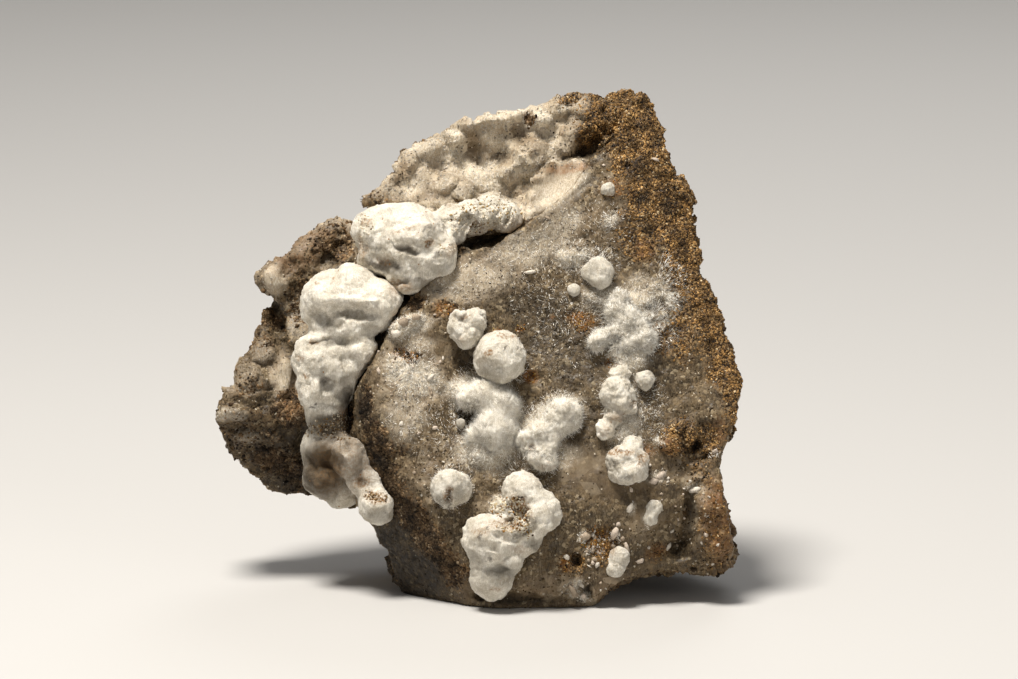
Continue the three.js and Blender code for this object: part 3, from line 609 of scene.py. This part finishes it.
low_ball = growth(
    "low_ball", 0.00011, 20, [], face_chalk, plump=0.1, ball=0.4,
    shape=[(449, 495, 3, 9, -0.8, 10), (456, 478, 12, 10, 0.3)],
    stain=[(449, 494, 5, 10, 0.9, 10)], pit_shade_and_specks=[(449, 497, 2.5, 6, 0.9, 10), (450, 507, 4, 3, 0.8)],
    shade_and_grey=[(442, 498, 6, 9, 0.5), (458, 492, 9, 10, 0.3)])
foot_cluster = growth(
    "foot_cluster", 0.00015, 10,
    [middle(4.3, 1.8, 11.2), middle(6.2, 1.6, 9.6), middle(1.1, 1.2, 6.8), middle(2.6, 0.8, 4.2)],
    face_chalk, plump=0.4, close=0.7, crumb=0.6,
    shape=[(519, 510, 7, 14, -0.6, -30), (512, 522, 8, 6, -0.4), (521, 524, 6, 6, 0.9), (530, 488, 16, 12, 0.6, 20),
           (546, 532, 12, 10, 0.5), (500, 545, 20, 8, 0.3), (512, 582, 14, 10, 0.4),
           (543, 520, 9, 20, 0.5, -20), (506, 535, 14, 4, -0.4, 20), (489, 532, 18, 10, 0.4), (490, 552, 14, 4, 0.3, 10),
           (530, 540, 8, 5, -0.5), (512, 560, 10, 6, 0.4), (500, 566, 12, 3, -0.4)],
    stain=[(520, 505, 8, 14, 1, -25), (510, 524, 9, 7, 0.9), (526, 515, 6, 9, 0.9), (480, 530, 10, 5, 0.5),
           (498, 522, 16, 4, 0.6), (496, 586, 6, 3, 0.7), (520, 548, 9, 6, 0.4)],
    pit_shade_and_specks=[(520, 496, 3, 3, 0.7), (512, 520, 3, 4, 0.6), (526, 530, 5, 2.5, 0.8, -30), (516, 534, 6, 2, 0.6),
         (487, 527, 2, 2, 0.8), (480, 534, 2, 3, 0.7), (535, 520, 2, 2, 0.6), (490, 556, 3, 2, 0.7),
         (524, 508, 2, 4, 0.4, -20)],
    shade_and_grey=[(512, 508, 9, 8, 0.5), (500, 572, 18, 12, 0.45), (478, 552, 10, 10, 0.35), (536, 542, 10, 7, 0.5)])
centre_tuft = growth(
    "centre_tuft", 0.00013, 20,
    [middle(-1.2, 1.5, 21.7), middle(0.6, 1.5, 22.0), middle(2.6, 1.5, 20.8), middle(1.6, 1.2, 18.3),
     middle(0.1, 1.2, 17.6)],
    face_chalk, folds=0.8, plump=0.45, shade_and_grey=[(470, 412, 10, 10, 0.5), (480, 425, 8, 6, 0.4), (505, 400, 8, 5, 0.3)])
right_tuft = growth(
    "right_tuft", 0.00012, 12,
    [middle(8.8, 1.5, 19.7), middle(6.6, 1.5, 17.7), middle(6.6, 1.5, 15.6), middle(4.6, 1.5, 17.2)],
    face_chalk, folds=1.4, plump=0.2, crumb=0.5,
    shape=[(546, 458, 7, 4, -0.4, 20), (528, 459, 6, 6, 0.4), (532, 446, 2.5, 2.5, -0.4), (540, 442, 9, 4, -0.3, 60),
           (521, 447, 3, 9, -0.3, 10), (529, 452, 9, 3, -0.25)],
    stain=[(532, 446, 3, 2.5, 1), (544, 466, 8, 3, 0.4)], pit_shade_and_specks=[(548, 461, 4, 1, 0.4, 30)],
    shade_and_grey=[(534, 452, 6, 6, 0.5), (552, 424, 8, 4, 0.2, -40)])
branching_tuft = growth(
    "branching_tuft", 0.00012, 12, [middle(14.5, 1.8, 32.0), middle(12.6, 1.8, 27.8), middle(16.0, 1.8, 27.0)],
    face_chalk, folds=1.5, plump=0.15,
    shape=[(617, 341, 4, 6, -0.7, 10), (598, 344, 9, 8, 0.3), (645, 340, 8, 8, 0.3)],
    stain=[(593, 336, 6, 4, 0.4), (650, 348, 6, 4, 0.5)], pit_shade_and_specks=[(617, 342, 3, 5, 0.7, 10)],
    shade_and_grey=[(617, 341, 6, 9, 0.6, 10), (634, 350, 8, 10, 0.4), (628, 325, 34, 44, 0.35)])
beads = {}
for node, dot, folds, plump, close, rounds, ball in (
        ("high_ball", 0.0001, 0.8, 0.15, 0.2, 20, 0.5), ("small_ball", 0.00009, 0.4, 0.15, 0.1, 16, 0.7),
        ("pea", 0.00008, 0.3, 0.05, 0.1, 16, 0.6), ("bead_string", 0.0001, 1.3, 0.25, 0.1, 8, 0),
        ("side_bead", 0.00009, 0.9, 0.3, 0.1, 16, 0.5), ("high_bead", 0.00009, 0.9, 0.3, 0.1, 12, 0.5)):
    beads[node] = growth(
        node, dot, rounds, [], face_chalk, folds=folds, plump=plump, close=close, crumb=0.3, ball=ball,
        shape=[(592, 268, 8, 10, -0.25), (600, 284, 9, 8, 0.3), (632, 403, 4, 5, -0.4), (607, 412, 5, 3, -0.4, 20)],
        stain=[(647, 396, 5, 5, 0.5, 30), (632, 403, 6, 4, 0.5), (612, 196, 6, 3, 0.7), (620, 418, 12, 6, 0.45),
               (604, 429, 8, 6, 0.35)],
        shade_and_grey=[(620, 416, 14, 6, 0.3), (592, 268, 8, 10, 0.3), (462, 424, 7, 6, 0.35), (632, 403, 5, 5, 0.5)])
shell_ball = growth(
    "shell_ball", 0.00011, 10, [], face_chalk, plump=0.4, shape=[(626, 462, 6, 6, -0.4), (636, 470, 6, 8, 0.4)],
    stain=[(620, 451, 14, 4, 1), (640, 458, 5, 8, 0.8)], pit_shade_and_specks=[(622, 449, 5, 1.5, 0.6)],
    shade_and_grey=[(612, 462, 6, 7, 0.6), (625, 476, 6, 3, 0.5)])
growth("low_sliver", 0.0001, 2, [], face_chalk, folds=0.8, shade_and_grey=[(650, 505, 6, 6, 0.4)])
growth("foot_crystal", 0.0001, 2, [], face_chalk, folds=0.8, stain=[(612, 548, 4, 6, 0.5)])


# Grains on the rock
# Angular grains of weathered crust, and sugar-like crystals on the fresh faces, each standing out of the rock that it is
# part of. Two shapes are made once and then set all over in their thousands.
def shape_of(make):
    """A small closed shape made at the origin, as its points and triangles."""
    bpy.ops.object.select_all(action="DESELECT")
    make()
    made = bpy.context.object
    bpy.ops.object.mode_set(mode="EDIT")
    bpy.ops.mesh.select_all(action="SELECT")
    bpy.ops.mesh.quads_convert_to_tris()
    bpy.ops.object.mode_set(mode="OBJECT")
    points = points_of(made)
    faces = np.array([p.vertices[:] for p in made.data.polygons])
    bpy.data.objects.remove(made)
    return points, faces


chance = np.random.default_rng(12)


def spots_on(piece, weight, count):
    """Random places on a piece, thickest where its points weigh most: place, normal, and the nearest point's number."""
    mesh = piece.data
    mesh.calc_loop_triangles()
    corners = np.empty(len(mesh.loop_triangles) * 3, dtype=np.int64)
    mesh.loop_triangles.foreach_get("vertices", corners)
    corners = corners.reshape(-1, 3)
    at, out = points_of(piece), normals_of(piece)
    a, b, c = at[corners[:, 0]], at[corners[:, 1]], at[corners[:, 2]]
    share = np.linalg.norm(np.cross(b - a, c - a), axis=1) * weight[corners].mean(axis=1)
    chosen = chance.choice(len(corners), count, p=share / share.sum())
    u, v = chance.random(count), chance.random(count)
    u, v = np.where(u + v > 1, 1 - u, u), np.where(u + v > 1, 1 - v, v)
    spots = a[chosen] + u[:, None] * (b - a)[chosen] + v[:, None] * (c - a)[chosen]
    return spots, out[corners[chosen, 0]], corners[chosen, 0]


def turned(heading, count):
    """Rotations that take +Z to each heading, with a random spin about it."""
    spin = chance.normal(size=(count, 3))
    side = np.cross(heading, spin)
    side /= np.linalg.norm(side, axis=1)[:, None]
    return np.stack([side, np.cross(heading, side), heading], axis=2)


def strew(name, shape, spots, turn, scale, tones, uneven, material):
    """One piece made of many copies of a small shape, each with its own place, turn, size and colour."""
    points, faces = shape
    count = len(spots)
    local = points[None] * (1 + uneven * chance.uniform(-1, 1, (count, len(points), 3)))
    world = np.einsum("nij,nkj->nki", turn, local * scale[:, None, :]) + spots[:, None, :]
    world[:, :, 2] = np.maximum(world[:, :, 2], 0)
    corners = (faces[None] + (np.arange(count) * len(points))[:, None, None]).reshape(-1, 3)
    mesh = bpy.data.meshes.new(name)
    mesh.vertices.add(count * len(points))
    mesh.vertices.foreach_set("co", world.ravel())
    mesh.loops.add(corners.size)
    mesh.loops.foreach_set("vertex_index", corners.ravel().astype(np.int32))
    mesh.polygons.add(len(corners))
    mesh.polygons.foreach_set("loop_start", np.arange(0, corners.size, 3, dtype=np.int32))
    mesh.update(calc_edges=True)
    piece = bpy.data.objects.new(name, mesh)
    bpy.context.collection.objects.link(piece)
    keep(piece, "tone", np.repeat(tones, len(points), axis=0))
    mesh.materials.append(material)
    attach(piece, "root")
    return piece


def tones_from(palette, odds, count, vary=0.16):
    """Random colours of a palette, each as likely as its odds and a little lighter or darker."""
    chosen = np.array([colour(*c) for c in palette])[chance.choice(len(palette), count, p=np.array(odds) / sum(odds))]
    chosen[:, :3] *= (1 + vary * chance.uniform(-1, 1, count))[:, None]
    return chosen


grit, tree, shader = finish("grain_colours")
fine = clouds(tree, add(tree, "TexCoord").outputs["Object"], 6000)
dusty = mixed(tree, spread(tree, fine, 0.9, -0.2), painted(tree, "tone", "Color"), colour(92, 74, 50), "MULTIPLY")
tree.links.new(dusty, shader.inputs["Base Color"])
shader.inputs["Roughness"].default_value = 0.7
shader.inputs["Specular IOR Level"].default_value = 0.2
grain = shape_of(lambda: bpy.ops.mesh.primitive_ico_sphere_add(subdivisions=1, radius=1))
crystal = shape_of(lambda: bpy.ops.mesh.primitive_cube_add(size=1.6))
EARTH = [(186, 148, 94), (150, 115, 68), (112, 84, 48), (68, 50, 30), (34, 26, 17), (206, 184, 146)]
STONY = [(152, 127, 96), (126, 101, 72), (102, 80, 54), (78, 59, 39), (52, 40, 26), (182, 162, 133)]
crust_weight = np.clip(paint["crust"] - 0.3 * calm, 0, 1) ** 2
right_side = (across > 560) * view


def crust_grains(name, weight, count, small, large, sink, palette):
    """Grains between two sizes (radii, in metres), sunk in by a share of their size, darker where the rock is painted
    dark: partly its own dark colour, partly painted shade.
    """
    spots, out, nearest = spots_on(rock, weight, count)
    size = chance.uniform(small, large, count)
    scale = size[:, None] * chance.uniform(0.65, 1.25, (count, 3))
    tones = tones_from(palette, [0.17, 0.29, 0.28, 0.16, 0.05, 0.05], count)
    patchy = np.clip(0.85 + 1.1 * waves(spots, 0.0013, 31.0), 0.35, 1.4)
    tones[:, :3] *= ((1 - 0.8 * paint["dark_and_shade"][nearest]) * patchy)[:, None]
    spots = spots - out * (size * sink)[:, None]
    strew(name, grain, spots, turned(out, count), scale, tones, 0.3, grit)


crust_grains("margin_crust", crust_weight * right_side, 9000, 0.00006, 0.00016, 0.2, EARTH)
crust_grains("margin_grit", crust_weight * right_side, 5000, 0.00004, 0.0001, 0.0, EARTH)
crust_grains("left_crust", crust_weight * (across <= 560) * view, 8500, 0.00008, 0.00026, 0.5, STONY)
crust_grains("back_crust", crust_weight * (1 - view) * (at[:, 2] > 0.0002), 8500, 0.0001, 0.00034, 0.55, STONY)

PALE = [(216, 205, 184), (146, 129, 102), (104, 88, 63), (72, 59, 40)]
SUGAR_COUNT = 12000
fresh = np.clip(1 - 1.3 * paint["crust"] - 0.9 * calm, 0, 1) * view * (0.25 + 0.75 * np.maximum(paint["frost"], 0.35))
spots, out, nearest = spots_on(rock, fresh, SUGAR_COUNT)
size = chance.uniform(0.00004, 0.00013, SUGAR_COUNT)
tones = tones_from(PALE, [0.08, 0.2, 0.36, 0.36], SUGAR_COUNT)
# Sugar crystals darken with the rock's dark patches: partly its own dark colour, partly painted shade.
tones[:, :3] *= (1 - 0.7 * paint["dark_and_shade"][nearest])[:, None]
white_part = np.clip(1.1 * paint["frost"][nearest], 0, 0.92)[:, None]
tones[:, :3] = tones[:, :3] * (1 - white_part) + white_part * np.array(colour(226, 219, 205)[:3])
lean = out + 0.5 * chance.normal(size=(SUGAR_COUNT, 3))
lean /= np.linalg.norm(lean, axis=1)[:, None]
strew("sugar_crystals", crystal, spots - out * (size * 0.45)[:, None], turned(lean, SUGAR_COUNT),
      size[:, None] * chance.uniform(0.6, 1.3, (SUGAR_COUNT, 3)), tones, 0.12, grit)

# Crumbs and specks
# Crumbs of white and rusty crystals that stick in the pits of the growths and along the seam's tail, and single dark and
# rusty specks on the plate. They are broken from the same minerals and lie where the photographed face shows them.
def crumbs(name, piece, places, count, small, large, palette, odds):
    across, down, _ = seen(points_of(piece))
    towards = np.clip(-normals_of(piece) @ INWARDS * 2, 0, 1)
    spots, out, _ = spots_on(piece, patches(across, down, places) * towards + 1e-9, count)
    size = chance.uniform(small, large, count)
    strew(name, grain, spots, turned(out, count), size[:, None] * chance.uniform(0.6, 1.3, (count, 3)),
          tones_from(palette, odds, count), 0.3, grit)


CRUMBS = [(226, 218, 200), (196, 178, 142), (166, 126, 70), (118, 84, 44), (62, 48, 32)]
crumbs("pit_crumbs", foot_cluster, [(519, 510, 10, 18, 1, -25), (508, 524, 10, 6, 0.6), (524, 528, 9, 7, 1)], 280,
       0.00006, 0.00018, CRUMBS, [0.46, 0.26, 0.14, 0.07, 0.07])
crumbs("notch_crumbs", rock, [(503, 508, 10, 11, 1), (496, 520, 8, 6, 0.6)], 420,
       0.00008, 0.00024, CRUMBS, [0.56, 0.3, 0.08, 0.03, 0.03])
crumbs("tail_crumbs", upper_mass, [(482, 216, 36, 18, 1, -10), (366, 226, 8, 12, 0.6), (446, 250, 12, 6, 0.4, -30)], 600,
       0.00005,
       0.00016, [(236, 229, 212), (216, 204, 180), (186, 158, 108), (96, 74, 46)], [0.5, 0.32, 0.12, 0.06])
crumbs("seam_crumbs", lower_mass, [(350, 420, 22, 8, 1), (376, 496, 12, 6, 1, 15), (330, 430, 26, 10, 0.6)], 380, 0.00005,
       0.00014,
       [(150, 132, 104), (124, 96, 58), (84, 64, 42), (206, 194, 172)], [0.3, 0.3, 0.12, 0.28])
crumbs("rust_specks", rock, [(498, 330, 5, 2, 1), (520, 329, 5, 2, 1, 10), (552, 317, 2, 2, 1), (444, 309, 9, 7, 0.5),
                             (581, 322, 12, 8, 0.4, 20), (531, 377, 6, 6, 0.6), (611, 362, 6, 4, 0.6),
                             (595, 540, 14, 14, 0.4),
                             (565, 562, 5, 8, 0.5), (406, 355, 12, 5, 0.4, 15), (612, 190, 10, 9, 0.4)], 520, 0.00004,
                             0.00011,
       [(178, 122, 46), (142, 92, 36), (92, 62, 30), (176, 148, 86)], [0.25, 0.3, 0.25, 0.2])
crumbs("dark_specks", rock,
       [(564, 228, 16, 11, 1), (500, 285, 40, 14, 0.5, -10), (540, 330, 60, 50, 0.22), (470, 300, 20, 8, 0.5),
                             (400, 420, 20, 40, 0.15), (600, 240, 30, 16, 0.4), (420, 460, 30, 20, 0.2)], 420, 0.00003,
                             0.00009,
       [(40, 30, 20), (74, 56, 34), (24, 20, 16)], [0.4, 0.4, 0.2])

# Blades
# Thin bright blades and stubby crystals, up to a millimetre and a half long, that stand on the lower right of the plate and
# in its rusty hollows, and a few single ones higher up.
BLADES = [
    (585, 535, 8, 5, 3, 20), (592, 533, 4, 4, 3, 60), (614, 532, 5, 9, 3, -20), (572, 588, 5, 11, 4, 35),
    (579, 582, 4, 8, 3, 50), (592, 549, 4, 3, 3, 0), (599, 552, 3, 3, 3, 30), (583, 595, 5, 5, 5, 0),
    (629, 507, 4, 7, 3, -15), (659, 475, 9, 4, 3, 35), (652, 481, 6, 4, 3, 20), (714, 451, 5, 3, 3, 20),
    (656, 159, 5, 2, 3, -25), (530, 272, 8, 3, 3, 10), (620, 552, 4, 10, 3, 30), (626, 545, 3, 8, 3, 15),
    (614, 562, 5, 5, 4, 0), (694, 489, 9, 4, 4, 10), (668, 546, 5, 3, 3, 60), (566, 556, 4, 3, 3, 0),
    (640, 560, 6, 3, 3, 20), (548, 218, 5, 2, 2, -20), (604, 165, 3, 2, 2, 0), (435, 315, 3, 2, 2, 0),
    (403, 322, 9, 6, 4, 35), (416, 318, 7, 5, 4, 20), (396, 333, 6, 5, 4, 0), (440, 362, 4, 2, 2, 60),
    (431, 377, 6, 2, 2, 40)]
AREAS = [
    (606, 548, 20, 22), (608, 545, 14, 16), (580, 588, 26, 12), (650, 500, 40, 50), (410, 375, 34, 30), (430, 470, 40, 50),
    (698, 520, 24, 44)]
for _ in range(150):
    x, y, wide, high = AREAS[chance.integers(len(AREAS))]
    BLADES.append((x + wide * chance.uniform(-1, 1), y + high * chance.uniform(-1, 1), chance.uniform(1.2, 3),
                   chance.uniform(1.6, 4.4), chance.uniform(1, 2), chance.uniform(-90, 90)))


def on_rock(x, y):
    """The place on the rock's front that is seen at a spot, and the rock's direction there, or None twice beside it."""
    hit, out, _, _ = rock_tree.ray_cast(Vector(place(x, y, -0.02)), Vector(INWARDS))
    return (None, None) if hit is None else (np.array(hit), np.array(out))


spots, turns, scales = [], [], []
for x, y, wide, high, thick, turn in BLADES:
    spot, _ = on_rock(x, y)
    if spot is None:
        continue
    turn = math.radians(turn)
    side = math.cos(turn) * np.array([1, 0, 0]) + math.sin(turn) * UPWARDS
    face = -INWARDS + 0.25 * chance.normal(size=3)
    face = face - side * (face @ side)
    face /= np.linalg.norm(face)
    turns.append(np.stack([side, np.cross(face, side), face], axis=1))
    spots.append(spot)
    scales.append(np.array([wide, high, thick * 1.6]) * DOT / 1.6 * (1.35 if wide * high > 9 else 1))
tones = tones_from([(230, 222, 208), (208, 194, 178), (176, 160, 140)], [0.3, 0.35, 0.35], len(spots))
strew("blades", grain, np.array(spots), np.array(turns), np.array(scales), tones, 0.4, grit)

# Needles
# Single gowerite needles, up to a millimetre and a half long and a few hundredths thick: a fuzz over the tufts and balls,
# and loose sprays that lie on the plate round them and in the swirl at its upper right.
silk, tree, shader = finish("needle_silk")
uneven = clouds(tree, add(tree, "TexCoord").outputs["Object"], 1400)
silky = mixed(tree, spread(tree, uneven, 0.8, -0.2), painted(tree, "tone", "Color"), colour(190, 180, 160))
tree.links.new(silky, shader.inputs["Base Color"])
shader.inputs["Roughness"].default_value = 0.35
needle = shape_of(lambda: bpy.ops.mesh.primitive_cone_add(vertices=3, radius1=1, radius2=0, depth=1, location=(0, 0, 0.5)))
WHITE = [(250, 248, 242), (240, 235, 224), (222, 214, 198)]


def needles(name, spots, heading, length, width):
    count = len(spots)
    heading = heading / np.linalg.norm(heading, axis=1)[:, None]
    scale = np.stack([width, width, length], axis=1)
    tones = tones_from(WHITE, [0.5, 0.35, 0.15], count, 0.08)
    strew(name, needle, spots, turned(heading, count), scale, tones, 0.0, silk)


# How many needles stand on each growth, the shortest and the longest, and how far they lean.
FUZZ = [(centre_tuft, 7000, 0.0007, 0.002, 0.45), (right_tuft, 5000, 0.0005, 0.0015, 0.45),
        (branching_tuft, 7500, 0.0005, 0.0017, 0.5), (round_ball, 3200, 0.0001, 0.0005, 0.6),
        (low_ball, 2800, 0.0003, 0.0008, 0.6), (knobby, 900, 0.0001, 0.0003, 0.6), (shell_ball, 1500, 0.0002, 0.0007, 0.6),
        (foot_cluster, 1800, 0.0001, 0.0003, 0.6), (beads["high_ball"], 1400, 0.0002, 0.0007, 0.5),
        (beads["bead_string"], 1400, 0.0002, 0.0006, 0.6)]
ROOT = 0.00015
DOWN_COUNT = 12000
starts, ways, lengths = [], [], []
for piece, count, short, long, lean in FUZZ:
    spots, out, _ = spots_on(piece, np.ones(len(piece.data.vertices)), count)
    starts.append(spots - out * ROOT)
    ways.append(out + lean * chance.normal(size=(count, 3)))
    lengths.append(chance.uniform(short, long, count) + ROOT)
soft = paint["frost"] ** 2 * view * (deep < 0.009) * (1 - calm)
spots, out, _ = spots_on(rock, soft, DOWN_COUNT)
starts.append(spots)
ways.append(out + 1.1 * chance.normal(size=(DOWN_COUNT, 3)))
lengths.append(chance.uniform(0.0003, 0.0009, DOWN_COUNT))
length = np.concatenate(lengths)
needles("fuzz", np.concatenate(starts), np.concatenate(ways), length, chance.uniform(0.000022, 0.000045, len(length)))

# Sprays: middle across and down, how wide they spread, their first and last direction, how long, and half their needles.
SPRAYS = [
    (600, 268, 20, 0, 360, 9, 260), (574, 256, 18, 0, 360, 7, 200), (625, 305, 30, 150, 330, 12, 320),
    (655, 286, 34, -60, 80, 12, 300), (675, 302, 9, 0, 360, 8, 200), (640, 320, 26, -20, 70, 12, 260),
    (660, 332, 20, 0, 360, 9, 160), (480, 392, 30, 0, 360, 10, 500), (470, 415, 20, 0, 360, 9, 260),
    (560, 415, 24, 0, 360, 11, 420), (535, 430, 24, 0, 360, 11, 360), (502, 365, 26, 0, 360, 10, 300),
    (468, 326, 20, 0, 360, 6, 120), (452, 486, 22, 0, 360, 7, 200), (412, 372, 26, 0, 360, 9, 420),
    (618, 395, 20, 0, 360, 9, 300), (628, 340, 24, 0, 360, 10, 300), (611, 221, 10, 0, 360, 7, 120),
    (640, 400, 26, 0, 360, 9, 260), (570, 340, 40, 0, 360, 8, 260), (500, 440, 30, 0, 360, 10, 320),
    (626, 450, 18, 0, 360, 8, 220), (550, 300, 40, 0, 360, 7, 300), (600, 240, 40, 0, 360, 7, 220),
    (450, 440, 40, 0, 360, 8, 260), (525, 475, 30, 0, 360, 9, 200), (640, 430, 26, 0, 360, 9, 220)]
starts, ways, lengths = [], [], []
for x, y, spread, first, last, reach, count in SPRAYS:
    for _ in range(count * 2):
        turn, far = math.radians(chance.uniform(first, last)), spread * math.sqrt(chance.random())
        spot, out = on_rock(x + far * math.cos(turn), y - far * math.sin(turn))
        if spot is None:
            continue
        way = turn + chance.normal() * 0.5
        along = math.cos(way) * np.array([1, 0, 0]) + math.sin(way) * UPWARDS
        along = along - out * (along @ out) + out * chance.uniform(0.02, 0.45)
        starts.append(spot - out * 0.00002)
        ways.append(along)
        lengths.append(chance.uniform(0.35, 1) * reach * DOT * 1.3)
for x, y, turn, long in ((449, 455, 47, 1.9), (451, 456, 44, 1.7), (500, 471, 45, 0.7), (425, 394, 55, 1.3),
                         (606, 252, 60, 0.8)):
    spot, out = on_rock(x, y)
    starts.append(spot)
    ways.append(math.cos(math.radians(turn)) * np.array([1, 0, 0]) + math.sin(math.radians(turn)) * UPWARDS + 0.2 * out)
    lengths.append(long * 0.001)
needles("sprays", np.array(starts), np.array(ways), np.array(lengths), chance.uniform(0.000024, 0.000046, len(starts)))

# Floor and light
# A plain pale floor that the specimen stands on, in a softly lit room. A wide warm light stands above and in front to the
# left, with a weak fill at the front right and a weak light behind.
bpy.ops.object.select_all(action="DESELECT")
bpy.ops.mesh.primitive_plane_add(size=4, location=(0, 0, 0))
floor = bpy.context.object
floor.name = "floor"
paint_coat, tree, shader = finish("pale_floor")
shader.inputs["Base Color"].default_value = (0.5, 0.49, 0.475, 1)
shader.inputs["Roughness"].default_value = 0.9
floor.data.materials.append(paint_coat)


def soft_light(name, spot, size, power):
    bpy.ops.object.light_add(type="AREA", location=spot)
    lamp = bpy.context.object
    lamp.name = name
    lamp.data.shape = "DISK"
    lamp.data.size = size
    lamp.data.energy = power
    lamp.rotation_euler = (Vector((0, 0, 0.025)) - Vector(spot)).to_track_quat("-Z", "Y").to_euler()
    return lamp


soft_light("key", (-0.1, -0.14, 0.5), 0.16, 4.5).data.color = (1.0, 0.955, 0.89)
soft_light("fill", (0.42, -0.5, 0.22), 0.4, 0.5)
soft_light("rim", (0.1, 0.45, 0.4), 0.3, 0.8)
world = bpy.data.worlds.new("soft_room")
world.use_nodes = True
world.node_tree.nodes["Background"].inputs[0].default_value = (1, 0.98, 0.95, 1)
world.node_tree.nodes["Background"].inputs[1].default_value = 0.2
bpy.context.scene.world = world
bpy.context.scene.view_settings.view_transform = "Standard"
